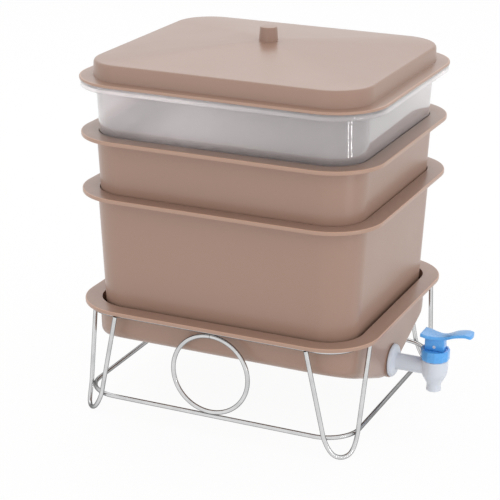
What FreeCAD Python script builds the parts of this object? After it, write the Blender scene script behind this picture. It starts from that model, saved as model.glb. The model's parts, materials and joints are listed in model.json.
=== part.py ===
import FreeCAD
import Part
import math
import os
from FreeCAD import Vector

# Wormery: a stack of worm trays over a collector tray with a tap, on a wire stand.
# Millimetres. The origin is on the floor under the middle of the trays.
# X runs along the long side towards the tap, Y to the back, Z up.

# Plan of every tray
FLANGE_L = 350.0            # outer length of a tray's flange
FLANGE_W = 311.0            # outer width of a tray's flange
FLANGE_R = 60.0             # corner radius of the flange's outer edge
FLANGE_T = 2.5              # thickness of the flange's flat part
LIP_T = 2.4                 # thickness of the lip turned down at the flange's edge
LIP_H = 4.2                 # height of that lip, from the flange's top
EDGE_R = 1.0                # rounding of the flange's upper outer edge

# Tray walls
WALL_INSET = 17.0           # flange's edge to the wall's outer face, at the flange's top
WALL_T = 2.4
WALL_DRAFT = 2.8            # degrees
FLOOR_T = 3.0
BOTTOM_R = 8.0              # outer rounding between a tray's wall and its floor

# Heights
COLLECTOR_TOP = 128.5       # top of the collector tray's flange, above the floor
DEEP_RISE = 130.0           # from the flange below to the deep tray's flange
SHALLOW_RISE = 64.5
CLEAR_RISE = 58.8
DEEP_NEST = 26.0            # how far the deep tray hangs into the collector tray
NEST = 20.5                 # how far the two trays above it hang into the one below
CLEAR_LIP_H = 6.9
SEAT_GAP = 0.2              # gap under a piece that only rests on another

# Drain holes in the floors of the worm trays
DRAIN_R = 4.0
DRAIN_PITCH = 25.0
DRAIN_EDGE = 14.0           # solid floor kept between the outer holes and the bottom's rounding

# Ribs inside a tray that carry the tray above
RIB_T = 3.0
RIB_DEPTH = 13.0
COLLECTOR_RIB_DEPTH = 17.0
RIB_SPREAD = 75.0           # a rib's distance from the middle of its side

# Collector tray
COLLECTOR_INSET = 16.6      # flange's edge to the wall's outer face, at the flange's top
COLLECTOR_DRAFT = 2.0
SIDE_ROOM = 11.3            # deep tray's underside to the floor's outer face, at the long walls
SUMP_Z = 42.5               # outer face of the sump, the floor's lowest part, above the floor
SUMP_HALF_W = 14.0
COLLECTOR_BOTTOM_R = 9.0

# Lid
LID_OVERHANG = 0.75         # how far the lid's flange passes the flange under it
LID_FLANGE_T = 2.55
LID_T = 2.4
PANEL_INSET = 15.25         # lid flange's edge to the foot of the raised panel
PANEL_H = 18.15             # flange's top to the rim of the raised panel
PANEL_DRAFT = 2.7
PANEL_EDGE_R = 4.0
CROWN_H = 11.2              # rise of the panel from its rim to its middle
CROWN_FLAT = 30.0           # width of the flat seat under the knob
CROWN_FLAT_R = 14.0         # corner radius of that seat
SKIRT_CLEARANCE = 0.7
SKIRT_H = 4.0
SKIRT_T = 2.0

# Knob and its screw
KNOB_R = 10.5
KNOB_TOP_R = 9.5
KNOB_H = 15.6
KNOB_EDGE_R = 1.2
SCREW_R = 1.75
SCREW_HEAD_R = 4.0
SCREW_HEAD_H = 2.6
SCREW_REACH = 9.0           # how far the screw goes into the knob
SCREW_CLEARANCE = 0.05
LID_HOLE_CLEARANCE = 0.4

# Wire stand
WIRE_D = 5.0
WELD_GAP = 0.1              # wires that are welded where they cross
RING_WALL_GAP = 0.6         # top ring to the collector tray's end walls
RING_LIP_GAP = 1.6          # top ring to the lip along the long sides
RING_SHARPER = 20.0         # how much smaller the ring's corner radius is than the flange's
LOWER_RING_RISE = 5.5       # lower ring above the legs' knee
LEG_HALF_SPREAD = 37.4      # half the distance between a leg's two wires, at the top
LEG_LEAN = 7.3              # degrees, each leg outwards
KNEE_Z = 18.0               # height at which a leg turns further outwards
KNEE_HALF_SPREAD = 18.8     # half the distance between a leg's wires at that height
KNEE_BLEND = 8.0            # height over which the wire bends there
FOOT_FLARE = 21.5           # degrees, the foot outwards
FOOT_BEND_R = 15.5
FOOT_ANGLES = (60.0, 30.0)  # places on the foot's bend that the wire's curve goes through
LEG_TOP_GAP = 0.8           # between a leg's cut ends and the lip over them

# Tap
TAP_RISE = 18.8             # the tap's inlet above the sump's outer face
TAP_REACH = 32.5            # the upright barrel's axis beyond the flange's edge
HOLE_CLEARANCE = 0.3
BOSS_R = 20.0               # flat pad round the tap's hole in the collector tray
BOSS_PROUD = 0.05           # the pad's face over the wall, at the pad's upper edge
BOSS_T = 6.0
WASHER_T = 1.2
WASHER_R = 13.5
WASHER_RECESS = 0.7         # how deep the tap flange's back takes the outer washer in
WASHER_CLEARANCE = 0.3
TAP_FLANGE_R = 19.0
TAP_FLANGE_EDGE = 2.0       # flat edge of the domed flange
TAP_FLANGE_DOME = 3.5
DOME_FULLNESS = (0.75, 0.55)  # shares of the dome's height and width at its middle
TUBE_R = 9.3
SHANK_STEP = 0.3            # the shank is this much thinner than the tube
SHANK_LENGTH = 24.0         # behind the flange
INLET_BORE_R = 4.8
NUT_H = 8.0
NUT_R = 13.2                # across corners, halved
FIT_GAP = 0.15              # radial gap of a screwed fit, drawn without its thread
BARREL_R = 14.9
NECK_STEP = 1.3             # barrel to the screwed neck under the collar
NECK_WALL = 2.6
BARREL_RISE = 10.4          # barrel's top above the inlet
NECK_H = 8.9
SHOULDER_DROP = 5.8         # below the inlet, where the barrel starts to narrow
SPOUT_DROP = 17.4           # below the inlet, where the spout starts
SPOUT_H = 9.4
SPOUT_R = 8.1
SPOUT_LIP = 0.3
SPOUT_LIP_H = 3.0
SPOUT_WALL = 1.6
SEAT_DROP = 4.3             # valve seat below the inlet

# Collar and valve
COLLAR_WALL = 2.8           # neck to the collar's corners
COLLAR_SIDES = 12
COLLAR_GAP = 0.3            # collar over the barrel's shoulder
COLLAR_H = 12.6
COLLAR_CHAMFER = 2.0
COLLAR_RECESS = 1.4
COLLAR_RIM = 2.6
STEM_R = 4.0
STEM_CLEARANCE = 0.08
STEM_HALF_T = 2.0           # half the thickness of the flat head in the lever
STEM_HEAD_RISE = 4.0        # stem's top above the pin
STEM_FLAT_DROP = 3.0        # how far the head's flats run down into the collar
STEM_COLLAR_R = 7.5         # spring seat on the stem
STEM_COLLAR_T = 1.8
SEAL_CLEARANCE = 1.5        # round the seal in its chamber
SEAL_T = 4.0
SPIGOT_R = 3.4              # stem's lower end, held in the seal
SPIGOT_H = 2.5
SPRING_WIRE_R = 0.55
SPRING_TURNS = 6
SPRING_GAP = 0.1            # at each end of the spring

# Lever
PIN_RISE = 3.4              # pin above the collar's top
PIN_R = 1.75
PIN_HALF_L = 5.9
PIN_CLEARANCE = 0.05
BLOCK_HALF_L = 11.2
BLOCK_HALF_W = 5.5
BLOCK_CORNER_R = 1.0
BLOCK_ROOF_T = 6.0          # block over its slot
BLOCK_GAP = 0.25            # lever's block over the collar
SLOT_HALF_L = 7.0
SLOT_CLEARANCE = 0.25
SLOT_HEADROOM = 3.0         # slot over the stem
LEVER_T = 3.6               # thickness of the plate
LEVER_TAIL_REACH = 15.1     # reaches are from the barrel's axis, this one to the back
LEVER_TAIL_HALF_W = 11.2
LEVER_TAIL_RISE = 2.7       # each rise is from the block's top to the plate's top
LEVER_DIP_REACH = 6.5       # the plate is lowest here, next to the block
LEVER_DIP_RISE = 0.5
LEVER_WAIST_REACH = 9.5
LEVER_WAIST_HALF_W = 6.6
LEVER_PADDLE_REACH = 23.0   # start of the raised finger paddle
LEVER_PADDLE_RISE = 6.0
LEVER_PADDLE_HALF_W = 8.4
LEVER_CREST_REACH = 36.0
LEVER_CREST_RISE = 8.5
LEVER_TIP_REACH = 42.8
LEVER_TIP_RISE = 7.3
LEVER_NOSE = 1.6            # how far the tip's end bulges
LEVER_CORNER_R = 2.4

def drop(height, degrees):
    """Sideways run of a face that leans by some degrees over a height."""
    return height * math.tan(math.radians(degrees))


TWO_PI = 2.0 * math.pi
X_AXIS = Vector(1, 0, 0)
Y_AXIS = Vector(0, 1, 0)
Z_AXIS = Vector(0, 0, 1)

DEEP_TOP = COLLECTOR_TOP + DEEP_RISE
SHALLOW_TOP = DEEP_TOP + SHALLOW_RISE
CLEAR_TOP = SHALLOW_TOP + CLEAR_RISE
DEEP_DEPTH = DEEP_RISE + DEEP_NEST
SHALLOW_DEPTH = SHALLOW_RISE + NEST
CLEAR_DEPTH = CLEAR_RISE + NEST
SIDE_DEPTH = DEEP_NEST + SIDE_ROOM
DEEP_BOTTOM = DEEP_TOP - DEEP_DEPTH
SHALLOW_BOTTOM = SHALLOW_TOP - SHALLOW_DEPTH
CLEAR_BOTTOM = CLEAR_TOP - CLEAR_DEPTH
LID_BOTTOM = CLEAR_TOP + SEAT_GAP
LID_FLANGE_TOP = LID_BOTTOM + LID_FLANGE_T
PANEL_RIM = LID_FLANGE_TOP + PANEL_H
CROWN_TOP = PANEL_RIM + CROWN_H

WIRE_R = WIRE_D / 2.0
TOP_RING_Z = COLLECTOR_TOP - FLANGE_T - SEAT_GAP - WIRE_R
RING_HALF_L = FLANGE_L / 2.0 - COLLECTOR_INSET + RING_WALL_GAP + WIRE_R
RING_HALF_W = FLANGE_W / 2.0 - LIP_T - RING_LIP_GAP - WIRE_R
RING_R = FLANGE_R - RING_SHARPER
LOWER_RING_Z = KNEE_Z + LOWER_RING_RISE

TAP_Z = SUMP_Z + TAP_RISE
TAP_AXIS_X = FLANGE_L / 2.0 + TAP_REACH
BOSS_DRAFT = drop(COLLECTOR_TOP - TAP_Z - BOSS_R, COLLECTOR_DRAFT)
BOSS_FACE_X = FLANGE_L / 2.0 - COLLECTOR_INSET - BOSS_DRAFT + BOSS_PROUD
BOSS_BACK_X = BOSS_FACE_X - BOSS_T
FLANGE_BACK_X = BOSS_FACE_X + WASHER_T - WASHER_RECESS
SHANK_R = TUBE_R - SHANK_STEP
BARREL_TOP = TAP_Z + BARREL_RISE
NECK_R = BARREL_R - NECK_STEP
NECK_TOP = BARREL_TOP + NECK_H
CHAMBER_R = NECK_R - NECK_WALL
SHOULDER_Z = TAP_Z - SHOULDER_DROP
SPOUT_TOP = TAP_Z - SPOUT_DROP
SPOUT_BOTTOM = SPOUT_TOP - SPOUT_H
SPOUT_BORE_R = SPOUT_R - SPOUT_WALL
SEAT_Z = TAP_Z - SEAT_DROP
SEAL_R = CHAMBER_R - SEAL_CLEARANCE
COLLAR_R = NECK_R + COLLAR_WALL
COLLAR_BOTTOM = BARREL_TOP + COLLAR_GAP
COLLAR_TOP = COLLAR_BOTTOM + COLLAR_H
PIN_Z = COLLAR_TOP + PIN_RISE
STEM_HEAD_TOP = PIN_Z + STEM_HEAD_RISE
SLOT_ROOF = STEM_HEAD_TOP + SLOT_HEADROOM
BLOCK_TOP = SLOT_ROOF + BLOCK_ROOF_T
LEVER_TAIL_X = TAP_AXIS_X - LEVER_TAIL_REACH
LEVER_WAIST_X = TAP_AXIS_X + LEVER_WAIST_REACH
LEVER_PADDLE_X = TAP_AXIS_X + LEVER_PADDLE_REACH
LEVER_TIP_X = TAP_AXIS_X + LEVER_TIP_REACH


def rounded_outline(inset, z, overhang=0.0):
    """The flange's outline drawn in by an inset, as one closed wire at height z."""
    grow = overhang - inset
    half_l = FLANGE_L / 2.0 + grow
    half_w = FLANGE_W / 2.0 + grow
    return rounded_wire(half_l, half_w, FLANGE_R + grow, z)


def rounded_wire(half_l, half_w, radius, z):
    """Closed wire of a rectangle with round corners, centred on the Z axis."""
    edges = []
    for quarter in range(4):
        sign_x = (1, -1, -1, 1)[quarter]
        sign_y = (1, 1, -1, -1)[quarter]
        centre = Vector(sign_x * (half_l - radius), sign_y * (half_w - radius), z)
        start = quarter * 90.0
        edges.append(Part.makeCircle(radius, centre, Z_AXIS, start, start + 90.0))
        next_x = (-1, -1, 1, 1)[quarter]
        next_y = (1, -1, -1, 1)[quarter]
        next_centre = Vector(next_x * (half_l - radius), next_y * (half_w - radius), z)
        turn = math.radians(start + 90.0)
        out = Vector(math.cos(turn), math.sin(turn), 0) * radius
        edges.append(Part.makeLine(centre + out, next_centre + out))
    return Part.Wire(edges)


def loft(lower, upper):
    """Solid between two outlines, with straight sides."""
    return Part.makeLoft([lower, upper], True, True)


def slab(inset, z_low, z_high, overhang=0.0):
    """Upright plate with the flange's outline, drawn in by an inset."""
    face = Part.Face(rounded_outline(inset, z_low, overhang))
    return face.extrude(Vector(0, 0, z_high - z_low))


def drafted(inset, draft, z_top, z_bottom):
    """Tapered block: its inset holds at z_top and grows downwards."""
    low_inset = inset + drop(z_top - z_bottom, draft)
    return loft(rounded_outline(low_inset, z_bottom), rounded_outline(inset, z_top))


def edges_at(shape, z, tolerance=1e-4):
    """Edges that lie wholly at one height."""
    found = []
    for edge in shape.Edges:
        box = edge.BoundBox
        if abs(box.ZMin - z) < tolerance and abs(box.ZMax - z) < tolerance:
            found.append(edge)
    return found


def cylinder(radius, length, base, direction=Z_AXIS):
    return Part.makeCylinder(radius, length, base, direction)


def box_between(x0, x1, y0, y1, z0, z1):
    return Part.makeBox(x1 - x0, y1 - y0, z1 - z0, Vector(x0, y0, z0))


def save(name, shape):
    """Write one node as STEP and print what it is."""
    shape = shape.removeSplitter()
    if not shape.isValid():
        print("NOT VALID", name)
    shape.exportStep("parts/" + name + ".step")
    print(name, len(shape.Solids), "solid(s)", round(shape.Volume), "mm3")
    return shape


# Trays

def flange(z_top, lip_h):
    """Flat flange with a lip turned down at its edge, over the whole plan."""
    block = slab(0.0, z_top - lip_h, z_top)
    block = block.makeFillet(EDGE_R, edges_at(block, z_top))
    hollow = slab(LIP_T, z_top - lip_h, z_top - FLANGE_T)
    return block.cut(hollow)


def wall_blocks(inset, draft, z_top, depth):
    """Outer and inner block of a flat-bottomed tray."""
    bottom = z_top - depth
    outer = drafted(inset, draft, z_top, bottom)
    outer = outer.makeFillet(BOTTOM_R, edges_at(outer, bottom))
    floor_top = bottom + FLOOR_T
    inner = drafted(inset + WALL_T, draft, z_top, floor_top)
    inner = inner.makeFillet(BOTTOM_R - WALL_T, edges_at(inner, floor_top))
    return outer, inner


def side_ribs(outer, inner_half_l, inner_half_w, depth, z_top, z_low, spread):
    """Ribs on all four walls, trimmed by the tray's own outer block."""
    ribs = []
    for side in (-1, 1):
        for place in (-spread, spread):
            y0, y1 = sorted((side * (inner_half_w - depth), side * (inner_half_w + FLANGE_R)))
            ribs.append(box_between(place - RIB_T / 2, place + RIB_T / 2, y0, y1, z_low, z_top))
            x0, x1 = sorted((side * (inner_half_l - depth), side * (inner_half_l + FLANGE_R)))
            ribs.append(box_between(x0, x1, place - RIB_T / 2, place + RIB_T / 2, z_low, z_top))
    return [rib.common(outer) for rib in ribs]


def drain_holes(half_l, half_w, floor_low):
    """Grid of round holes through a floor, centred on the tray."""
    columns = int((half_l - DRAIN_EDGE - DRAIN_R) / DRAIN_PITCH)
    rows = int((half_w - DRAIN_EDGE - DRAIN_R) / DRAIN_PITCH)
    cutters = []
    for i in range(-columns, columns + 1):
        for j in range(-rows, rows + 1):
            base = Vector(i * DRAIN_PITCH, j * DRAIN_PITCH, floor_low - FLOOR_T)
            cutters.append(cylinder(DRAIN_R, 3 * FLOOR_T, base))
    return Part.makeCompound(cutters)


def worm_tray(z_top, depth, lip_h, bottom_above=None):
    """Tray with a perforated floor; ribs carry a tray whose bottom is at bottom_above."""
    outer, inner = wall_blocks(WALL_INSET, WALL_DRAFT, z_top, depth)
    body = flange(z_top, lip_h).fuse(outer).cut(inner)
    bottom = z_top - depth
    if bottom_above is not None:
        rib_top = bottom_above - SEAT_GAP
        inset = WALL_INSET + WALL_T + drop(z_top - rib_top, WALL_DRAFT)
        half_l = FLANGE_L / 2.0 - inset
        half_w = FLANGE_W / 2.0 - inset
        ribs = side_ribs(outer, half_l, half_w, RIB_DEPTH, rib_top, bottom, RIB_SPREAD)
        body = body.fuse(ribs)
    inset = WALL_INSET + drop(depth, WALL_DRAFT) + BOTTOM_R
    return body.cut(drain_holes(FLANGE_L / 2.0 - inset, FLANGE_W / 2.0 - inset, bottom))


def trough(half_w, side_z, sump_z, half_sump):
    """Long prism over a floor that falls from both long walls to a flat sump."""
    far = FLANGE_L
    top = DEEP_TOP
    points = [(-far, side_z), (-half_w, side_z), (-half_sump, sump_z), (half_sump, sump_z),
              (half_w, side_z), (far, side_z), (far, top), (-far, top)]
    corners = [Vector(-far, y, z) for y, z in points]
    face = Part.Face(Part.makePolygon(corners + corners[:1]))
    return face.extrude(Vector(2 * far, 0, 0))


def collector_tray():
    """Sloping-floored tray that the tap drains."""
    side_z = COLLECTOR_TOP - SIDE_DEPTH
    half_w = FLANGE_W / 2.0 - COLLECTOR_INSET - drop(SIDE_DEPTH, COLLECTOR_DRAFT)
    outer = drafted(COLLECTOR_INSET, COLLECTOR_DRAFT, COLLECTOR_TOP, SUMP_Z - FLOOR_T)
    outer = outer.common(trough(half_w, side_z, SUMP_Z, SUMP_HALF_W))
    outer = outer.makeFillet(COLLECTOR_BOTTOM_R, underside_edges(outer, COLLECTOR_TOP))
    inner = drafted(COLLECTOR_INSET + WALL_T, COLLECTOR_DRAFT, COLLECTOR_TOP, SUMP_Z - FLOOR_T)
    inner = inner.common(trough(half_w, side_z + FLOOR_T, SUMP_Z + FLOOR_T, SUMP_HALF_W))
    inner = inner.makeFillet(COLLECTOR_BOTTOM_R - WALL_T, underside_edges(inner, COLLECTOR_TOP))
    body = flange(COLLECTOR_TOP, LIP_H).fuse(outer).cut(inner)

    rib_top = DEEP_BOTTOM - SEAT_GAP
    inset = COLLECTOR_INSET + WALL_T + drop(COLLECTOR_TOP - rib_top, COLLECTOR_DRAFT)
    ribs = side_ribs(outer, FLANGE_L / 2.0 - inset, FLANGE_W / 2.0 - inset,
                     COLLECTOR_RIB_DEPTH, rib_top, SUMP_Z, RIB_SPREAD)
    body = body.fuse(ribs)

    pad = cylinder(BOSS_R, BOSS_FACE_X - BOSS_BACK_X, Vector(BOSS_BACK_X, 0, TAP_Z), X_AXIS)
    body = body.fuse(pad)
    hole = cylinder(SHANK_R + HOLE_CLEARANCE, FLANGE_L, Vector(0, 0, TAP_Z), X_AXIS)
    return body.cut(hole)


def underside_edges(shape, z_top):
    """Edges round and along the floor: every edge that stays below the rim."""
    return [edge for edge in shape.Edges if edge.BoundBox.ZMax < z_top - FLANGE_T]


# Lid

def crown(inset, rim_z, top_z, flat):
    """Four shallow slopes from the panel's rim up to a small flat square."""
    upper = rounded_wire(flat / 2.0, flat / 2.0, CROWN_FLAT_R, top_z)
    return loft(rounded_outline(inset, rim_z, LID_OVERHANG), upper)


def lid():
    """Raised lid with a flange that lies on the tray below and a skirt inside that tray."""
    plate = slab(0.0, LID_BOTTOM, LID_FLANGE_TOP, LID_OVERHANG)
    plate = plate.makeFillet(EDGE_R, edges_at(plate, LID_FLANGE_TOP))
    rim_inset = PANEL_INSET + drop(PANEL_H, PANEL_DRAFT)
    panel = loft(rounded_outline(PANEL_INSET, LID_FLANGE_TOP, LID_OVERHANG),
                 rounded_outline(rim_inset, PANEL_RIM, LID_OVERHANG))
    panel = panel.fuse(crown(rim_inset, PANEL_RIM, CROWN_TOP, CROWN_FLAT))
    panel = panel.makeFillet(PANEL_EDGE_R, edges_at(panel, PANEL_RIM))

    foot_inset = PANEL_INSET + LID_T - drop(LID_FLANGE_T, PANEL_DRAFT)
    inner_rim = PANEL_RIM - LID_T
    inner_inset = PANEL_INSET + LID_T + drop(PANEL_H - LID_T, PANEL_DRAFT)
    hollow = loft(rounded_outline(foot_inset, LID_BOTTOM, LID_OVERHANG),
                  rounded_outline(inner_inset, inner_rim, LID_OVERHANG))
    hollow = hollow.fuse(crown(inner_inset, inner_rim, CROWN_TOP - LID_T, CROWN_FLAT))

    skirt_inset = WALL_INSET + WALL_T + SKIRT_CLEARANCE
    shelf_top = LID_BOTTOM + LID_T
    skirt = slab(skirt_inset, LID_BOTTOM - SKIRT_H, shelf_top)
    skirt = skirt.fuse(slab(PANEL_INSET, LID_BOTTOM, shelf_top))
    skirt = skirt.cut(slab(skirt_inset + SKIRT_T, LID_BOTTOM - SKIRT_H, shelf_top))
    hole = cylinder(SCREW_R + LID_HOLE_CLEARANCE, CROWN_H, Vector(0, 0, PANEL_RIM))
    return plate.fuse(panel).cut(hollow).fuse(skirt).cut(hole)


def lid_knob():
    """Plain round knob, slightly narrower at the top."""
    base = Vector(0, 0, CROWN_TOP)
    knob = Part.makeCone(KNOB_R, KNOB_TOP_R, KNOB_H, base)
    knob = knob.makeFillet(KNOB_EDGE_R, edges_at(knob, CROWN_TOP + KNOB_H))
    return knob.cut(cylinder(SCREW_R + SCREW_CLEARANCE, SCREW_REACH + 1.0, base))


def knob_screw():
    """Round-headed screw from under the lid into the knob."""
    head_top = CROWN_TOP - LID_T
    head = cylinder(SCREW_HEAD_R, SCREW_HEAD_H, Vector(0, 0, head_top - SCREW_HEAD_H))
    head = head.makeFillet(SCREW_HEAD_H / 2.0, edges_at(head, head_top - SCREW_HEAD_H))
    slot_half_l = SCREW_HEAD_R / 2.0
    slot_half_w = SCREW_R / 3.0
    slot_top = head_top - SCREW_HEAD_H / 2.0
    slot_low = head_top - SCREW_HEAD_H
    for long_x in (True, False):
        half_x = slot_half_l if long_x else slot_half_w
        half_y = slot_half_w if long_x else slot_half_l
        head = head.cut(box_between(-half_x, half_x, -half_y, half_y, slot_low, slot_top))
    shank = cylinder(SCREW_R, LID_T + SCREW_REACH, Vector(0, 0, head_top))
    return head.fuse(shank)


# Wire stand

def tube_along(edges, start, direction):
    """Round wire along a path of lines and arcs."""
    path = Part.Wire(edges)
    section = Part.Wire([Part.makeCircle(WIRE_R, start, direction)])
    tube = path.makePipeShell([section], True, False)
    expected = math.pi * WIRE_R ** 2 * path.Length
    if abs(tube.Volume / expected - 1.0) > 0.01:
        print("wire volume is off:", tube.Volume, expected)
    return tube


def wire_ring(half_l, half_w, radius, z):
    """Closed ring of round wire, as four rods and four quarter bends."""
    ring = None
    for quarter in range(4):
        sign_x = (1, -1, -1, 1)[quarter]
        sign_y = (1, 1, -1, -1)[quarter]
        centre = Vector(sign_x * (half_l - radius), sign_y * (half_w - radius), z)
        bend = Part.makeTorus(radius, WIRE_R, Vector(0, 0, 0), Z_AXIS, -180.0, 180.0, 90.0)
        bend.rotate(Vector(0, 0, 0), Z_AXIS, quarter * 90.0)
        bend.translate(centre)
        next_sign = ((-1, 1), (-1, -1), (1, -1), (1, 1))[quarter]
        next_centre = Vector(next_sign[0] * (half_l - radius), next_sign[1] * (half_w - radius), z)
        turn = math.radians(quarter * 90.0 + 90.0)
        out = Vector(math.cos(turn), math.sin(turn), 0) * radius
        run = next_centre - centre
        rod = cylinder(WIRE_R, run.Length, centre + out, run)
        piece = bend.fuse(rod)
        ring = piece if ring is None else ring.fuse(piece)
    return ring


class LegShape:
    """Where a leg's wires run. Out is measured from the ring's corner centre along the
    corner's diagonal, side is the distance to either side of that diagonal."""

    def __init__(self):
        touch = RING_R + WIRE_D + WELD_GAP
        self.top_z = COLLECTOR_TOP - LIP_H - LEG_TOP_GAP
        self.top_out = touch * math.sqrt(2.0) - LEG_HALF_SPREAD
        self.knee_out = self.top_out + drop(self.top_z - KNEE_Z, LEG_LEAN)
        self.foot_out = self.knee_out + drop(KNEE_Z - WIRE_R, FOOT_FLARE)

    def side_at(self, z):
        """Half the distance between the two wires at a height above the knee."""
        share = (self.top_z - z) / (self.top_z - KNEE_Z)
        return LEG_HALF_SPREAD + (KNEE_HALF_SPREAD - LEG_HALF_SPREAD) * share

    def out_at(self, z):
        return self.top_out + drop(self.top_z - z, LEG_LEAN)

    def foot(self, degrees):
        """Out, side and height of a place on the foot's bend, counted from its lowest point."""
        angle = math.radians(degrees)
        flare = math.radians(FOOT_FLARE)
        climb = FOOT_BEND_R * (1.0 - math.cos(angle))
        side = FOOT_BEND_R * math.sin(angle)
        return self.foot_out - climb * math.sin(flare), side, WIRE_R + climb * math.cos(flare)

    def lower_ring_radius(self):
        """Corner radius with which the lower ring touches both wires from inside."""
        reach = math.hypot(self.side_at(LOWER_RING_Z), self.out_at(LOWER_RING_Z))
        return reach - WIRE_D - WELD_GAP


LEG = LegShape()


def stand_leg(sign_x, sign_y):
    """One wire bent into a narrow U, with its foot turned out on the floor."""
    def place(out, side, z):
        local_x = (out + side) / math.sqrt(2.0)
        local_y = (out - side) / math.sqrt(2.0)
        return Vector(sign_x * (RING_HALF_L - RING_R + local_x),
                      sign_y * (RING_HALF_W - RING_R + local_y), z)

    def on_strand(z, way):
        return place(LEG.out_at(z), way * LEG.side_at(z), z)

    bend_z = KNEE_Z + KNEE_BLEND
    first, first_bend = on_strand(LEG.top_z, 1), on_strand(bend_z, 1)
    last_bend, last = on_strand(bend_z, -1), on_strand(LEG.top_z, -1)
    down, bottom = [], LEG.foot(0.0)
    up = []
    for degrees in FOOT_ANGLES:
        out, side, z = LEG.foot(degrees)
        down.append(place(out, side, z))
        up.insert(0, place(out, -side, z))
    points = [first_bend] + down + [place(*bottom)] + up + [last_bend]
    foot = Part.BSplineCurve()
    foot.interpolate(Points=points, InitialTangent=first_bend - first, FinalTangent=last - last_bend)
    edges = [Part.makeLine(first, first_bend), foot.toShape(), Part.makeLine(last_bend, last)]
    return tube_along(edges, first, first_bend - first)


def stand_ornament(sign_y):
    """Round ring of wire between the two rings of the stand."""
    rise = TOP_RING_Z - LOWER_RING_Z
    radius = rise / 2.0 - WIRE_D - WELD_GAP
    middle = (TOP_RING_Z + LOWER_RING_Z) / 2.0
    return Part.makeTorus(radius, WIRE_R, Vector(0, sign_y * RING_HALF_W, middle), Y_AXIS)


# Tap

def turned(points, base, direction):
    """Solid of revolution: points are (along, radius) pairs measured from base."""
    corners = [Vector(along, radius, 0) for along, radius in points]
    corners = [Vector(points[0][0], 0, 0)] + corners + [Vector(points[-1][0], 0, 0)]
    face = Part.Face(Part.makePolygon(corners + corners[:1]))
    solid = face.revolve(Vector(0, 0, 0), X_AXIS, 360.0)
    solid.Placement = FreeCAD.Placement(base, FreeCAD.Rotation(X_AXIS, direction))
    return solid


def tap_flange():
    """Domed round flange, the tube behind it and the shank through the wall."""
    centre = Vector(FLANGE_BACK_X, 0, TAP_Z)
    dome_rise = TAP_FLANGE_R - TUBE_R
    edge = Vector(TAP_FLANGE_EDGE, TAP_FLANGE_R, 0)
    crest = Vector(TAP_FLANGE_EDGE + TAP_FLANGE_DOME, TUBE_R, 0)
    middle = Vector(TAP_FLANGE_EDGE + TAP_FLANGE_DOME * DOME_FULLNESS[0],
                    TUBE_R + dome_rise * DOME_FULLNESS[1], 0)
    tube_end = TAP_AXIS_X - FLANGE_BACK_X
    lines = [Part.makeLine(Vector(0, 0, 0), Vector(0, TAP_FLANGE_R, 0)),
             Part.makeLine(Vector(0, TAP_FLANGE_R, 0), edge),
             Part.Arc(edge, middle, crest).toShape(),
             Part.makeLine(crest, Vector(tube_end, TUBE_R, 0)),
             Part.makeLine(Vector(tube_end, TUBE_R, 0), Vector(tube_end, 0, 0)),
             Part.makeLine(Vector(tube_end, 0, 0), Vector(0, 0, 0))]
    solid = Part.Face(Part.Wire(lines)).revolve(Vector(0, 0, 0), X_AXIS, 360.0)
    solid.translate(centre)
    solid = solid.cut(cylinder(WASHER_R + WASHER_CLEARANCE, WASHER_RECESS, centre, X_AXIS))
    start = centre - X_AXIS * SHANK_LENGTH
    shank = cylinder(SHANK_R, SHANK_LENGTH + TAP_FLANGE_EDGE, start, X_AXIS)
    return solid.fuse(shank)


def tap_body():
    """Tap moulding: flange, tube, upright barrel and spout, with its water way."""
    lip_r = SPOUT_R + SPOUT_LIP
    profile = [(SPOUT_BOTTOM, lip_r), (SPOUT_BOTTOM + SPOUT_LIP_H, lip_r),
               (SPOUT_BOTTOM + SPOUT_LIP_H + SPOUT_LIP, SPOUT_R), (SPOUT_TOP, SPOUT_R),
               (SHOULDER_Z, BARREL_R), (BARREL_TOP, BARREL_R), (BARREL_TOP, NECK_R),
               (NECK_TOP, NECK_R)]
    barrel = turned(profile, Vector(TAP_AXIS_X, 0, 0), Z_AXIS)
    body = tap_flange().fuse(barrel)
    axis = Vector(TAP_AXIS_X, 0, 0)
    chamber = cylinder(CHAMBER_R, NECK_TOP - SEAT_Z, axis + Z_AXIS * SEAT_Z)
    outlet = cylinder(SPOUT_BORE_R, SEAT_Z - SPOUT_BOTTOM, axis + Z_AXIS * SPOUT_BOTTOM)
    inlet_start = FLANGE_BACK_X - SHANK_LENGTH
    inlet = cylinder(INLET_BORE_R, TAP_AXIS_X - inlet_start, Vector(inlet_start, 0, TAP_Z), X_AXIS)
    return body.cut(chamber).cut(outlet).cut(inlet)


def washer(x_low):
    """Flat rubber ring on the tap's shank."""
    base = Vector(x_low, 0, TAP_Z)
    ring = cylinder(WASHER_R, WASHER_T, base, X_AXIS)
    return ring.cut(cylinder(SHANK_R + FIT_GAP, WASHER_T, base, X_AXIS))


def polygon_prism(sides, radius, base, height, direction, turn=0.0):
    """Prism with a regular base, its corners on a circle."""
    corners = []
    for i in range(sides + 1):
        angle = turn + TWO_PI * i / sides
        corners.append(Vector(radius * math.cos(angle), radius * math.sin(angle), 0))
    prism = Part.Face(Part.makePolygon(corners)).extrude(Vector(0, 0, height))
    prism.Placement = FreeCAD.Placement(base, FreeCAD.Rotation(Z_AXIS, direction))
    return prism


def tap_lock_nut():
    """Six-sided nut inside the tray that clamps the wall against the tap's flange."""
    nut_x = BOSS_BACK_X - WASHER_T - NUT_H
    base = Vector(nut_x, 0, TAP_Z)
    nut = polygon_prism(6, NUT_R, base, NUT_H, X_AXIS)
    return nut.cut(cylinder(SHANK_R + FIT_GAP, NUT_H, base, X_AXIS))


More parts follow.
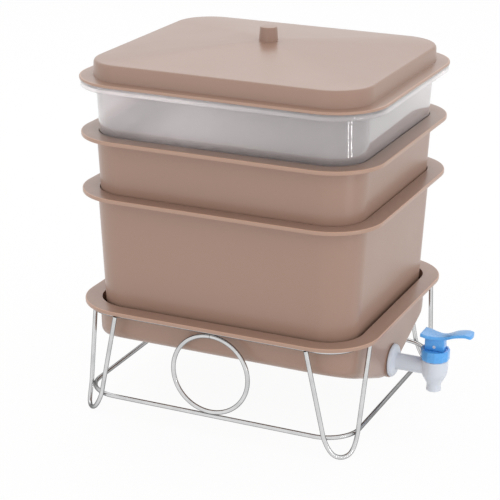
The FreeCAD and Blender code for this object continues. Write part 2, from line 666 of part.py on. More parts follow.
def tap_collar():
    """Faceted screw collar that closes the barrel and guides the stem."""
    axis = Vector(TAP_AXIS_X, 0, 0)
    height = COLLAR_TOP - COLLAR_BOTTOM
    prism = polygon_prism(COLLAR_SIDES, COLLAR_R, axis + Z_AXIS * COLLAR_BOTTOM, height, Z_AXIS,
                          math.pi / COLLAR_SIDES)
    chamfer = [(COLLAR_BOTTOM, COLLAR_R - COLLAR_CHAMFER),
               (COLLAR_BOTTOM + COLLAR_CHAMFER, COLLAR_R),
               (COLLAR_TOP - COLLAR_CHAMFER / 4.0, COLLAR_R),
               (COLLAR_TOP, COLLAR_R - COLLAR_CHAMFER / 4.0)]
    collar = prism.common(turned(chamfer, axis, Z_AXIS))
    socket_top = NECK_TOP + SEAT_GAP
    socket = cylinder(NECK_R + FIT_GAP, socket_top - COLLAR_BOTTOM, axis + Z_AXIS * COLLAR_BOTTOM)
    recess_low = COLLAR_TOP - COLLAR_RECESS
    recess_r = COLLAR_R - COLLAR_RIM
    recess = cylinder(recess_r, COLLAR_RECESS, axis + Z_AXIS * recess_low)
    hole = cylinder(STEM_R + STEM_CLEARANCE, height, axis + Z_AXIS * COLLAR_BOTTOM)
    return collar.cut(socket).cut(recess).cut(hole)


def stem_seat_z():
    """Underside of the stem's spring seat, on top of the seal."""
    return SEAT_Z + SEAT_GAP + SEAL_T


def tap_seal():
    """Rubber plug that closes the valve seat."""
    base = Vector(TAP_AXIS_X, 0, SEAT_Z + SEAT_GAP)
    seal = cylinder(SEAL_R, SEAL_T, base)
    socket = cylinder(SPIGOT_R + STEM_CLEARANCE, SPIGOT_H + STEM_CLEARANCE,
                      Vector(TAP_AXIS_X, 0, stem_seat_z() - SPIGOT_H - STEM_CLEARANCE))
    return seal.cut(socket)


def tap_stem():
    """Stem with a spring seat, a round shaft and a flat head in the lever."""
    low = stem_seat_z()
    axis = Vector(TAP_AXIS_X, 0, 0)
    profile = [(low - SPIGOT_H, SPIGOT_R), (low, SPIGOT_R), (low, STEM_COLLAR_R),
               (low + STEM_COLLAR_T, STEM_COLLAR_R), (low + STEM_COLLAR_T, STEM_R),
               (STEM_HEAD_TOP, STEM_R)]
    stem = turned(profile, axis, Z_AXIS)
    head_low = COLLAR_TOP - COLLAR_RECESS - STEM_FLAT_DROP
    for side in (-1, 1):
        y0, y1 = sorted((side * STEM_HALF_T, side * 2 * STEM_R))
        flat = box_between(TAP_AXIS_X - 2 * STEM_R, TAP_AXIS_X + 2 * STEM_R, y0, y1,
                           head_low, STEM_HEAD_TOP)
        stem = stem.cut(flat)
    return stem.cut(pin_bore(0.0))


def pin_bore(clearance):
    """Cutter for the pivot pin's hole."""
    length = 4 * PIN_HALF_L
    return cylinder(PIN_R + clearance, length, Vector(TAP_AXIS_X, -length / 2.0, PIN_Z), Y_AXIS)


def tap_pivot_pin():
    """Pin through the lever and the stem's head."""
    return cylinder(PIN_R, 2 * PIN_HALF_L, Vector(TAP_AXIS_X, -PIN_HALF_L, PIN_Z), Y_AXIS)


def tap_spring():
    """Closing spring round the stem: quarter-turn arcs in a steady climb."""
    low = stem_seat_z() + STEM_COLLAR_T + SPRING_GAP + SPRING_WIRE_R
    high = NECK_TOP + SEAT_GAP - SPRING_GAP - SPRING_WIRE_R
    radius = (STEM_R + STEM_COLLAR_R) / 2.0

    def at(turns):
        angle = TWO_PI * turns
        z = low + (high - low) * turns / SPRING_TURNS
        return Vector(TAP_AXIS_X + radius * math.cos(angle), radius * math.sin(angle), z)

    edges = []
    for quarter in range(4 * SPRING_TURNS):
        start = quarter / 4.0
        edges.append(Part.Arc(at(start), at(start + 0.125), at(start + 0.25)).toShape())
    path = Part.Wire(edges)
    tangent = Vector(0, TWO_PI * radius, (high - low) / SPRING_TURNS)
    section = Part.Wire([Part.makeCircle(SPRING_WIRE_R, at(0.0), tangent)])
    return path.makePipeShell([section], True, False)


# Lever

def spline(points):
    curve = Part.BSplineCurve()
    curve.interpolate([Vector(*point) for point in points])
    return curve.toShape()


def lever_plate():
    """Long curved plate of the lever: its side profile crossed with its plan."""
    top = []
    low = []
    for x, rise in ((LEVER_TAIL_X, LEVER_TAIL_RISE), (TAP_AXIS_X + LEVER_DIP_REACH, LEVER_DIP_RISE),
                    (LEVER_PADDLE_X, LEVER_PADDLE_RISE), (TAP_AXIS_X + LEVER_CREST_REACH, LEVER_CREST_RISE),
                    (LEVER_TIP_X, LEVER_TIP_RISE)):
        top.append((x, 0, BLOCK_TOP + rise))
        low.append((x, 0, BLOCK_TOP + rise - LEVER_T))
    side = Part.Wire([spline(top), Part.makeLine(Vector(*top[-1]), Vector(*low[-1])),
                      spline(low[::-1]), Part.makeLine(Vector(*low[0]), Vector(*top[0]))])
    profile = Part.Face(side).extrude(Y_AXIS * 4 * LEVER_TAIL_HALF_W)
    profile.translate(Y_AXIS * -2 * LEVER_TAIL_HALF_W)

    nose_x = LEVER_TIP_X - LEVER_NOSE
    edge = [(LEVER_TAIL_X + 2 * LEVER_T, LEVER_TAIL_HALF_W, 0),
            (LEVER_WAIST_X, LEVER_WAIST_HALF_W, 0),
            (LEVER_PADDLE_X, LEVER_PADDLE_HALF_W, 0), (nose_x, LEVER_PADDLE_HALF_W, 0)]
    mirrored = [(x, -y, z) for x, y, z in edge]
    nose = Part.Arc(Vector(*edge[-1]), Vector(LEVER_TIP_X, 0, 0), Vector(*mirrored[-1])).toShape()
    tail_left = Vector(LEVER_TAIL_X, LEVER_TAIL_HALF_W, 0)
    tail_right = Vector(LEVER_TAIL_X, -LEVER_TAIL_HALF_W, 0)
    plan = Part.Wire([Part.makeLine(tail_left, Vector(*edge[0])), spline(edge), nose,
                      spline(mirrored[::-1]), Part.makeLine(Vector(*mirrored[0]), tail_right),
                      Part.makeLine(tail_right, tail_left)])
    outline = Part.Face(plan).extrude(Z_AXIS * 2 * COLLAR_TOP)
    corners = [edge for edge in outline.Edges
               if edge.BoundBox.XLength < LEVER_CORNER_R and edge.BoundBox.XMax < LEVER_TIP_X
               and edge.BoundBox.XMin > nose_x - LEVER_CORNER_R]
    return profile.common(outline.makeFillet(LEVER_CORNER_R, corners))


def tap_lever():
    """Press-down lever: a block with the pin's hole and the plate on top of it."""
    low = COLLAR_TOP - COLLAR_RECESS + BLOCK_GAP
    block = box_between(TAP_AXIS_X - BLOCK_HALF_L, TAP_AXIS_X + BLOCK_HALF_L,
                        -BLOCK_HALF_W, BLOCK_HALF_W, low, BLOCK_TOP)
    upright = [edge for edge in block.Edges if edge.BoundBox.ZLength > BLOCK_CORNER_R]
    block = block.makeFillet(BLOCK_CORNER_R, upright)
    lever = block.fuse(lever_plate())
    slot_half_w = STEM_HALF_T + SLOT_CLEARANCE
    slot = box_between(TAP_AXIS_X - SLOT_HALF_L, TAP_AXIS_X + SLOT_HALF_L,
                       -slot_half_w, slot_half_w, low, SLOT_ROOF)
    return lever.cut(slot).cut(pin_bore(PIN_CLEARANCE))


def main():
    os.makedirs("parts", exist_ok=True)

    save("stand_top_ring", wire_ring(RING_HALF_L, RING_HALF_W, RING_R, TOP_RING_Z))
    lower_r = LEG.lower_ring_radius()
    grow = lower_r - RING_R
    save("stand_lower_ring", wire_ring(RING_HALF_L + grow, RING_HALF_W + grow, lower_r, LOWER_RING_Z))
    for name_y, sign_y in (("front", -1), ("rear", 1)):
        for name_x, sign_x in (("left", -1), ("right", 1)):
            save("stand_leg_" + name_y + "_" + name_x, stand_leg(sign_x, sign_y))
        save("stand_ornament_" + name_y, stand_ornament(sign_y))

    save("collector_tray", collector_tray())
    save("deep_tray", worm_tray(DEEP_TOP, DEEP_DEPTH, LIP_H, SHALLOW_BOTTOM))
    save("shallow_tray", worm_tray(SHALLOW_TOP, SHALLOW_DEPTH, LIP_H, CLEAR_BOTTOM))
    save("clear_tray", worm_tray(CLEAR_TOP, CLEAR_DEPTH, CLEAR_LIP_H))
    save("lid", lid())
    save("lid_knob", lid_knob())
    save("knob_screw", knob_screw())

    save("tap_body", tap_body())
    save("tap_outer_washer", washer(BOSS_FACE_X))
    save("tap_inner_washer", washer(BOSS_BACK_X - WASHER_T))
    save("tap_lock_nut", tap_lock_nut())
    save("tap_collar", tap_collar())
    save("tap_seal", tap_seal())
    save("tap_stem", tap_stem())
    save("tap_pivot_pin", tap_pivot_pin())
    save("tap_spring", tap_spring())
    save("tap_lever", tap_lever())


main()
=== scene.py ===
# %% [markdown]
# # A stacking worm composter
#
# The real object is a tower of moulded plastic trays. A collector tray with a
# tap hangs in a stand of bright wire, two brown worm trays and one see-through
# tray nest above it, and a raised lid closes the top.
#
# The trays, the wires and the tap were first drawn as solids, and that frame is
# loaded here. Every piece made below lies where its solid lies, in metres, so
# nothing has to be fitted afterwards.

# %% Load the frame
import json
from math import cos, hypot, pi, radians, sin, sqrt, tan
import bmesh
import bpy
from mathutils import Matrix, Vector

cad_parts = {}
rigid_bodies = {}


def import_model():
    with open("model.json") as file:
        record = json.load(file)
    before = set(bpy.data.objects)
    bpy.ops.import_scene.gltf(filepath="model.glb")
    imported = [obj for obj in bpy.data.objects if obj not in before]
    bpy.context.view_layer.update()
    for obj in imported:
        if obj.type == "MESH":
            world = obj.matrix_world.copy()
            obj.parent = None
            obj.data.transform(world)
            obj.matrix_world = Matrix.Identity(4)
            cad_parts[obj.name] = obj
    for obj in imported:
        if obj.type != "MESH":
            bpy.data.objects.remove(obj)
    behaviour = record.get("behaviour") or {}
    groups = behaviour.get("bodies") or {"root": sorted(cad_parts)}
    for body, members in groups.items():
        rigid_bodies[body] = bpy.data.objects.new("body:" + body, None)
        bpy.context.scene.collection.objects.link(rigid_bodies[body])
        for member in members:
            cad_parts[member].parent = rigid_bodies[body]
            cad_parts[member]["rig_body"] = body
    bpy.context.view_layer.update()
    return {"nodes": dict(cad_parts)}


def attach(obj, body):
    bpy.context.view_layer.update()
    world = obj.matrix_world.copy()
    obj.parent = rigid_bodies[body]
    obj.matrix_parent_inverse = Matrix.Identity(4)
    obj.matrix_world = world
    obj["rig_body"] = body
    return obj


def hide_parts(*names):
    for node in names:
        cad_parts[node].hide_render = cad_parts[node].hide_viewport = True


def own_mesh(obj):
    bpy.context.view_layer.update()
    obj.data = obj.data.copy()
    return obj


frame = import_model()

print("frame loaded:", len(frame["nodes"]), "nodes")

# %% [markdown]
# ## Helpers for working in edit mode
#
# Modelling by hand means adding a primitive, selecting some of it and running
# an operator on what is selected. The helpers here do the selecting, and give
# short names to the operators that are used again and again. `only` starts
# from a clean selection, `pick` selects faces or edges by a rule, and `done`
# shades and dresses a piece, so that each one ends in the same state.

# %% Selection helpers
MM = 0.001


def only(obj):
    """Make obj the one selected and active object."""
    bpy.ops.object.select_all(action="DESELECT")
    obj.select_set(True)
    bpy.context.view_layer.objects.active = obj


def added(name):
    """The primitive that was just added, under a new name."""
    obj = bpy.context.active_object
    obj.name = name
    obj.data.name = name
    only(obj)
    return obj


def pick(kind, rule):
    """In edit mode, select the faces or the edges for which a rule holds."""
    bpy.ops.mesh.select_all(action="DESELECT")
    bpy.ops.mesh.select_mode(type=kind)
    mesh = bmesh.from_edit_mesh(bpy.context.edit_object.data)
    for part in {"FACE": mesh.faces, "EDGE": mesh.edges}[kind]:
        if rule(part):
            part.select_set(True)
    bmesh.update_edit_mesh(bpy.context.edit_object.data)


def looks_up(face):
    return face.normal.z > 0.9


def looks_down(face):
    return face.normal.z < -0.9


def stands_upright(edge):
    start, end = edge.verts
    return (start.co.xy - end.co.xy).length < 1e-6


# %% Short names for operators
def edit(obj):
    """Enter edit mode on one object."""
    only(obj)
    bpy.ops.object.mode_set(mode="EDIT")


def leave():
    bpy.ops.object.mode_set(mode="OBJECT")


def extrude(move):
    """Extrude the selected faces by a move in metres."""
    bpy.ops.mesh.extrude_region_move(TRANSFORM_OT_translate={"value": move})


def resize(factors, centre=(0, 0, 0)):
    bpy.ops.transform.resize(value=factors, center_override=centre)


def soften(radius, segments):
    """Round the selected edges, or the edges of the selected faces, in millimetres."""
    bpy.ops.mesh.bevel(offset=radius * MM, segments=segments, affect="EDGES")


def round_off(obj, kind, rule, radius, segments):
    """Round the faces or edges of an object for which a rule holds."""
    edit(obj)
    pick(kind, rule)
    soften(radius, segments)
    leave()


def select_everything():
    bpy.ops.mesh.select_all(action="SELECT")


def close_up():
    """Turn every face outwards and leave edit mode."""
    select_everything()
    bpy.ops.mesh.normals_make_consistent(inside=False)
    leave()


# %% Helpers for whole objects
TURNS = {"x": (0, pi / 2, 0), "y": (pi / 2, 0, 0), "z": (0, 0, 0)}


def apply_all(obj):
    """Apply every modifier of obj, in order."""
    only(obj)
    for modifier in list(obj.modifiers):
        bpy.ops.object.modifier_apply(modifier=modifier.name)


def place(obj):
    """Move obj's place, turn and scale into its mesh."""
    only(obj)
    bpy.ops.object.transform_apply(location=True, rotation=True, scale=True)


def pin_along(axis, radius, start, end, centre, vertices=48, name="pin"):
    """Cylinder along an axis between two places, in millimetres."""
    middle = [value * MM for value in centre]
    middle["xyz".index(axis)] = (start + end) / 2 * MM
    bpy.ops.mesh.primitive_cylinder_add(vertices=vertices, radius=radius * MM, depth=(end - start) * MM,
                                        location=middle, rotation=TURNS[axis])
    pin = added(name)
    place(pin)
    return pin


def join(parts):
    """Join several objects into the first one."""
    only(parts[0])
    for part in parts[1:]:
        part.select_set(True)
    bpy.ops.object.join()
    return bpy.context.active_object


def combine(body, tool, operation):
    """Apply one Boolean modifier and throw the tool away."""
    modifier = body.modifiers.new(operation.lower(), "BOOLEAN")
    modifier.operation = operation
    modifier.solver = "EXACT"
    modifier.object = tool
    apply_all(body)
    bpy.data.objects.remove(tool)


def bore(body, *pin):
    """Bore a round hole where pin_along would put a cylinder."""
    combine(body, pin_along(*pin), "DIFFERENCE")


def paint(obj, material):
    """Give obj one material."""
    obj.data.materials.clear()
    obj.data.materials.append(material)


def done(obj, material, node, angle=32.0):
    """Shade obj, give it its material, and let it stand for its solid."""
    place(obj)
    bpy.ops.object.shade_smooth_by_angle(angle=radians(angle))
    paint(obj, material)
    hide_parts(node)
    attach(obj, frame["nodes"][node]["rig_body"])
    print(obj.name, len(obj.data.vertices), "points")


# %% [markdown]
# ## The camera
#
# The photograph was taken with a long lens from a little to the right of the
# front and from above. The camera's place and direction were worked out from
# the straight edges of the trays, and are written here as its three axes.

# %% Camera
lens = bpy.data.cameras.new("camera")
lens.sensor_width = 36.0
lens.lens = 122.26
lens.clip_end = 50.0
camera = bpy.data.objects.new("camera", lens)
camera_right = Vector((0.911762, 0.410646, 0.007737))
camera_up = Vector((-0.145338, 0.304963, 0.941209))
camera_back = Vector((0.384145, -0.859283, 0.337736))
turn = Matrix((camera_right, camera_up, camera_back)).transposed().to_4x4()
turn.translation = Vector((0.730829, -1.680032, 0.826321))
camera.matrix_world = turn
bpy.context.collection.objects.link(camera)
bpy.context.scene.camera = camera
print("camera at", [round(v, 3) for v in camera.location])

# %% [markdown]
# ## Shared surface effects
#
# Moulded plastic is never perfectly even. The melt leaves faint clouds of
# colour, the mould leaves a very fine grain, and handling leaves small scuffs
# that are duller than the rest. A see-through wall also shows how the melt
# flowed into it, and it gets painted shade in its nearest corner and at its
# nested foot. A flange gets a painted highlight along its outer edge. All of
# this could be painted on pictures, but patterns worked out from each point's
# place have no seams and stay sharp at any distance. Each effect is built
# once, as a node group with its own inputs.

# %% Node helpers
FLOAT, PLACE, COLOUR = "NodeSocketFloat", "NodeSocketVector", "NodeSocketColor"
WHITE = (1, 1, 1, 1)
GREY = (0.5, 0.5, 0.5, 1)


def fill(tree, sockets, values):
    """Give each socket its value, or a link where the value is another socket."""
    for key, value in values.items():
        if hasattr(value, "is_output"):
            tree.links.new(value, sockets[key])
        else:
            sockets[key].default_value = value


def add_node(tree, kind, values, **settings):
    """New node of a kind, with its settings made and its sockets filled."""
    node = tree.nodes.new("ShaderNode" + kind)
    for key, value in settings.items():
        setattr(node, key, value)
    fill(tree, node.inputs, values)
    return node


def start_group(name, inputs, outputs):
    """Empty shader group: inputs are (name, kind, default), after the point's place."""
    tree = bpy.data.node_groups.new(name, "ShaderNodeTree")
    for label, kind, value in [("Vector", PLACE, (0, 0, 0))] + inputs:
        socket = tree.interface.new_socket(name=label, in_out="INPUT", socket_type=kind)
        socket.default_value = value
    for label, kind in outputs:
        tree.interface.new_socket(name=label, in_out="OUTPUT", socket_type=kind)
    start = tree.nodes.new("NodeGroupInput")
    end = tree.nodes.new("NodeGroupOutput")
    return tree, start.outputs, end.inputs


def end_group(tree, end, values):
    """Fill the group's outputs and measure it."""
    fill(tree, end, values)
    print(tree.name, "has", len(tree.nodes), "nodes")
    return tree


def noise(tree, vector, scale, detail=2.0, roughness=0.5):
    values = {"Vector": vector, "Scale": scale, "Detail": detail, "Roughness": roughness}
    return add_node(tree, "TexNoise", values).outputs["Fac"]


def remap(tree, value, low, high, to_low=0.0, to_high=1.0):
    """Stretch the range from low to high to a new one, and hold its ends."""
    values = {"Value": value, "From Min": low, "From Max": high, "To Min": to_low, "To Max": to_high}
    return add_node(tree, "MapRange", values).outputs["Result"]


def math_node(tree, operation, a, b=0.0):
    return add_node(tree, "Math", {0: a, 1: b}, operation=operation).outputs[0]


def mix_colour(tree, factor, a, b, blend="MIX"):
    values = {0: factor, 6: a, 7: b}
    return add_node(tree, "Mix", values, data_type="RGBA", blend_type=blend).outputs[2]


def mix_shaders(tree, factor, first, second, end):
    """Blend two shaders, and let the tree's end node show the result."""
    blend = add_node(tree, "MixShader", {0: factor, 1: first.outputs[0], 2: second.outputs[0]})
    fill(tree, tree.nodes[end].inputs, {"Surface": blend.outputs[0]})


# %% Group: cloudy colour of a moulded melt
SPECK_SHARE = 0.18      # how far the fine specks change the clouds

tree, start, end = start_group(
    "melt clouds",
    [("Base", COLOUR, GREY), ("Pale", COLOUR, GREY), ("Size", FLOAT, 9.0), ("Amount", FLOAT, 0.35)],
    [("Color", COLOUR)])
wide = noise(tree, start["Vector"], start["Size"], detail=3.0, roughness=0.55)
fine = noise(tree, start["Vector"], scale=160.0)
cloud = remap(tree, wide, 0.35, 0.68)
speck = remap(tree, fine, 0.3, 0.7, -SPECK_SHARE, SPECK_SHARE)
factor = math_node(tree, "MULTIPLY", math_node(tree, "ADD", cloud, speck), start["Amount"])
melt_clouds = end_group(tree, end, {"Color": mix_colour(tree, factor, start["Base"], start["Pale"])})

# %% Group: fine mould grain and the dull spots left by handling
WAVE_SHARE = 3.0        # how high the wide waves are beside the fine grain

tree, start, end = start_group(
    "mould skin", [("Gloss", FLOAT, 0.3), ("Scuff", FLOAT, 0.12)],
    [("Roughness", FLOAT), ("Height", FLOAT)])
haze = noise(tree, start["Vector"], scale=14.0, detail=5.0, roughness=0.6)
grain = noise(tree, start["Vector"], scale=900.0, roughness=0.6)
wave = noise(tree, start["Vector"], scale=55.0, roughness=0.4)
dull = math_node(tree, "MULTIPLY", remap(tree, haze, 0.4, 0.75), start["Scuff"])
height = math_node(tree, "ADD", grain, math_node(tree, "MULTIPLY", wave, WAVE_SHARE))
rough = math_node(tree, "ADD", start["Gloss"], dull)
mould_skin = end_group(tree, end, {"Roughness": rough, "Height": height})

# %% Group: flow marks of a see-through moulding, with painted shade in its nearest corner and at its nested foot
STREAK_SQUASH = 0.06            # heights count this much, so that the streaks stand upright
# Painted shade darkens the nearest corner and the nested foot over the two ranges below.
PAINTED_CORNER_SHADE = (0.12, 0.27)      # x less y, in metres, over which the nearest corner darkens
PAINTED_FOOT_SHADE = (0.321, 0.331)      # heights in metres over which the nested foot darkens

tree, start, end = start_group(
    "flow marks and painted shade",
    [("Color", COLOUR, WHITE), ("Bands", FLOAT, 0.05), ("Corner", FLOAT, 0.74), ("Foot", FLOAT, 0.55)],
    [("Color", COLOUR)])
x, y, z = add_node(tree, "SeparateXYZ", {0: start["Vector"]}).outputs
squashed = math_node(tree, "MULTIPLY", z, STREAK_SQUASH)
upright = add_node(tree, "CombineXYZ", {0: x, 1: y, 2: squashed}).outputs[0]
streaks = remap(tree, noise(tree, upright, scale=16.0), 0.35, 0.65)
bands = math_node(tree, "SUBTRACT", 1.0, math_node(tree, "MULTIPLY", streaks, start["Bands"]))
# Painted shade: darker towards the front right corner, and at the foot where the tray stands in the one
# below.
near = remap(tree, math_node(tree, "SUBTRACT", x, y), *PAINTED_CORNER_SHADE)
corner = math_node(tree, "POWER", start["Corner"], near)
foot = math_node(tree, "POWER", start["Foot"], remap(tree, z, *PAINTED_FOOT_SHADE, 1.0, 0.0))
shade = math_node(tree, "MULTIPLY", math_node(tree, "MULTIPLY", bands, corner), foot)
flow_marks_and_painted_shade = end_group(tree, end, {"Color": mix_colour(tree, 1.0, start["Color"], shade, "MULTIPLY")})

# %% Group: painted highlight along the flanges' outer edge
FLANGE_HALF_L = 175.0           # in millimetres, as the two below
FLANGE_HALF_W = 155.5
CORNER_R = 60.0
# Painted highlight: a pale line is painted along the flanges' outer edge, with its colour in the Edge input.
EDGE_LINE = (0.0587, 0.0593)    # reach in metres over which the pale line begins
EDGE_FACE = (0.0597, 0.05995)   # reach over which it gives way to the edge's upright face

tree, start, end = start_group(
    "painted edge highlight",
    [("Color", COLOUR, WHITE), ("Edge", COLOUR, (0.56, 0.345, 0.245, 1)), ("Face", FLOAT, 0.3)],
    [("Color", COLOUR)])
x, y, _ = add_node(tree, "SeparateXYZ", {0: start["Vector"]}).outputs
squares = []
for side, half in ((x, FLANGE_HALF_L), (y, FLANGE_HALF_W)):
    straight = (half - CORNER_R) * MM
    past = math_node(tree, "SUBTRACT", math_node(tree, "ABSOLUTE", side), straight)
    past = math_node(tree, "MAXIMUM", past, 0.0)
    squares.append(math_node(tree, "MULTIPLY", past, past))
reach = math_node(tree, "SQRT", math_node(tree, "ADD", *squares))
line = remap(tree, reach, *EDGE_LINE)
face = remap(tree, reach, *EDGE_FACE, 1.0, 0.0)
level = math_node(tree, "MULTIPLY", line, math_node(tree, "MAXIMUM", face, start["Face"]))
painted_edge_highlight = end_group(tree, end, {"Color": mix_colour(tree, level, start["Color"], start["Edge"])})

# %% [markdown]
# ## Plastic materials
#
# All the plastics share the clouds and the skin, each with its own colours,
# gloss and bump. The brown one is a warm taupe with a soft gloss and a painted
# highlight along its flanges' outer edges. The see-through tray lets light pass
# and blurs it, shows faint flow marks, and has painted shade in its nearest
# corner and at its nested foot. The tap is milky, so light spreads a little
# inside it, and its blue parts have a soft sheen on top.

# %% Plastics
PLASTIC_IOR = 1.5
GRAIN_HEIGHT = 0.0004


def blank_material(name):
    """New material with its tree, its shader's sockets and each point's own place."""
    material = bpy.data.materials.new(name)
    material.use_nodes = True
    tree = material.node_tree
    where = tree.nodes.new("ShaderNodeTexCoord").outputs["Object"]
    return material, tree, tree.nodes["Principled BSDF"].inputs, where


def relief(tree, height, strength, distance):
    """Turn a height pattern into small tilts of the surface."""
    values = {"Height": height, "Strength": strength, "Distance": distance}
    return add_node(tree, "Bump", values).outputs["Normal"]


def plastic(name, base, pale, gloss, scuff=0.12, bump=0.05, size=9.0, effect=None, finish=None):
    """Moulded plastic; effect is a group for its colour, finish fills more of its shader."""
    material, tree, shader, where = blank_material(name)
    melt = {"Vector": where, "Base": base, "Pale": pale, "Size": size}
    colour = add_node(tree, "Group", melt, node_tree=melt_clouds).outputs["Color"]
    if effect:
        flat_colour = {"Vector": where, "Color": colour}
        colour = add_node(tree, "Group", flat_colour, node_tree=effect).outputs["Color"]
    skin = add_node(tree, "Group", {"Vector": where, "Gloss": gloss, "Scuff": scuff}, node_tree=mould_skin)
    grain = relief(tree, skin.outputs["Height"], bump, GRAIN_HEIGHT)
    fill(tree, shader, {"Base Color": colour, "Roughness": skin.outputs["Roughness"], "Normal": grain,
                        "IOR": PLASTIC_IOR})
    fill(tree, shader, finish or {})
    return material


# The taupe's effect is the painted edge highlight, and the frosted tray's adds painted shade in its nearest
# corner and at its nested foot.
taupe = plastic("taupe plastic", (0.335, 0.208, 0.156, 1), (0.352, 0.222, 0.168, 1), 0.28,
                scuff=0.04, bump=0.03, size=5.0, effect=painted_edge_highlight, finish={"IOR": 1.6})
frosted = plastic("frosted plastic", (1.0, 0.940, 0.945, 1), (1.0, 0.955, 0.960, 1), 0.12,
                  scuff=0.04, bump=0.005, size=5.0, effect=flow_marks_and_painted_shade,
                  finish={"Transmission Weight": 0.74, "Coat Weight": 1.0, "Coat Roughness": 0.03})
milky = plastic("milky tap plastic", (0.66, 0.70, 0.77, 1), (0.72, 0.75, 0.81, 1), 0.30,
                finish={"Subsurface Weight": 0.35, "Subsurface Radius": (0.004, 0.004, 0.0045)})
blue = plastic("blue plastic", (0.075, 0.372, 0.840, 1), (0.115, 0.435, 0.880, 1), 0.26,
               finish={"Coat Weight": 0.6, "Coat Roughness": 0.2})
black_rubber = plastic("black rubber", (0.02, 0.02, 0.02, 1), (0.04, 0.04, 0.04, 1), 0.65)

# %% Light through the see-through tray
LAMP_SHARE = 0.8


def let_lamps_through(material, share):
    """Clear plastic throws hardly any shadow, so most rays towards lamps pass it."""
    tree = material.node_tree
    shadow_ray = add_node(tree, "LightPath", {}).outputs["Is Shadow Ray"]
    open_way = add_node(tree, "BsdfTransparent", {"Color": WHITE})
    passing = math_node(tree, "MULTIPLY", shadow_ray, share)
    mix_shaders(tree, passing, tree.nodes["Principled BSDF"], open_way, "Material Output")


let_lamps_through(frosted, LAMP_SHARE)
print("plastics made")

# %% [markdown]
# ## Metal materials
#
# The stand is bent from drawn wire and then plated bright. Plating leaves it a
# little uneven, so its reflections are slightly broken up instead of being
# like a mirror's. In an all-white room a mirror-bright wire would be white all
# over, while a real one shows dark rims, where it mirrors what stands beside
# it. So a painted reflection darkens its colour where its surface curves away
# from the eye.

# %% Metals
RIM_START, RIM_END = 0.30, 0.62     # from facing the eye (0) to seen edge on (1)


def metal(name, colour, patch_colour, rough, spread, rim_share=1.0):
    """Plated metal; rim_share is what its colour keeps where it curves away."""
    material, tree, shader, where = blank_material(name)
    patches = noise(tree, where, scale=70.0, detail=4.0, roughness=0.6)
    body_colour = mix_colour(tree, remap(tree, patches, 0.35, 0.7), colour, patch_colour)
    # Painted reflection: the colour darkens towards rims seen edge on.
    facing = add_node(tree, "LayerWeight", {"Blend": 0.5}).outputs["Facing"]
    painted_reflection_colour = tuple(rim_share * channel for channel in colour[:3]) + (1,)
    rimmed = mix_colour(tree, remap(tree, facing, RIM_START, RIM_END), body_colour, painted_reflection_colour)
    uneven = relief(tree, noise(tree, where, scale=600.0), strength=0.06, distance=0.0002)
    fill(tree, shader, {"Base Color": rimmed, "Metallic": 1.0, "Normal": uneven,
                        "Roughness": remap(tree, patches, 0.3, 0.7, rough, rough + spread)})
    return material


plated_wire = metal("plated wire", (0.70, 0.70, 0.70, 1), (0.60, 0.60, 0.61, 1), 0.14, 0.10, rim_share=0.16)
zinc_steel = metal("zinc plated steel", (0.55, 0.55, 0.56, 1), (0.45, 0.45, 0.46, 1), 0.28, 0.15)
print("metals made")

# %% [markdown]
# ## A helper for moulded shells
#
# A tray is one wall of even thickness that runs round a rounded rectangle. The
# quickest way to model it by hand is to start from a thin plate with rounded
# corners, then to inset its top face again and again, moving each new face
# down or up. Insets keep the corners truly round. The same is done from below,
# and the two faces that are left are the two sides of the tray's floor.

# %% Rounded plate
CORNER_STEPS = 20


def box(name, centre, size):
    """Cuboid by its centre and its three sizes, in millimetres."""
    bpy.ops.mesh.primitive_cube_add(size=1.0, location=[value * MM for value in centre])
    cuboid = added(name)
    cuboid.scale = [value * MM for value in size]
    place(cuboid)
    return cuboid


def rounded_plate(name, half_l, half_w, radius, z_low, z_high):
    """Plate with rounded corners, in millimetres."""
    plate = box(name, (0, 0, (z_low + z_high) / 2), (2 * half_l, 2 * half_w, z_high - z_low))
    round_off(plate, "EDGE", stands_upright, radius, CORNER_STEPS)
    return plate


# %% Walking a profile with insets
def select_cap(plate, up):
    """Select the widest face that looks up or down, and measure its half length and width."""
    bpy.ops.mesh.select_all(action="DESELECT")
    bpy.ops.mesh.select_mode(type="FACE")
    mesh = bmesh.from_edit_mesh(plate.data)
    caps = filter(looks_up if up else looks_down, mesh.faces)
    cap = max(caps, key=lambda face: face.calc_area())
    cap.select_set(True)
    bmesh.update_edit_mesh(plate.data)
    return max(abs(v.co.x) for v in cap.verts), max(abs(v.co.y) for v in cap.verts)


def walk(plate, up, profile):
    """From the top or bottom face, go through (inset, height) points in millimetres."""
    edit(plate)
    half_l, half_w = select_cap(plate, up)
    for (inset, z), (next_inset, next_z) in zip(profile, profile[1:]):
        inward = (next_inset - inset) * MM
        rise = (next_z - z) * MM
        if inward > 1e-7:
            bpy.ops.mesh.inset(thickness=inward, depth=rise if up else -rise)
        else:
            extrude((0, 0, rise))
            resize(((half_l - inward) / half_l, (half_w - inward) / half_w, 1))
        half_l, half_w = half_l - inward, half_w - inward
    leave()


def arc(centre, radius, start, end, steps=4):
    """Points on an arc of a profile, angles in degrees."""
    points = []
    for i in range(steps + 1):
        angle = radians(start + (end - start) * i / steps)
        points.append((centre[0] + radius * cos(angle), centre[1] + radius * sin(angle)))
    return points


def lean(height, degrees):
    """How far a wall moves in over a height."""
    return height * tan(radians(degrees))


# %% [markdown]
# ## The worm trays
#
# The two brown trays and the see-through tray are one moulding in different
# depths: a flange with a lip turned down at its edge, a wall that leans in by
# nearly three degrees so that the trays nest, and a floor with rows of round
# holes through which the worms climb and the liquid drains. The holes are cut
# with one Boolean modifier by a grid of cylinders, as they would be by core
# pins. Small ribs on the brown trays' walls carry the tray above.

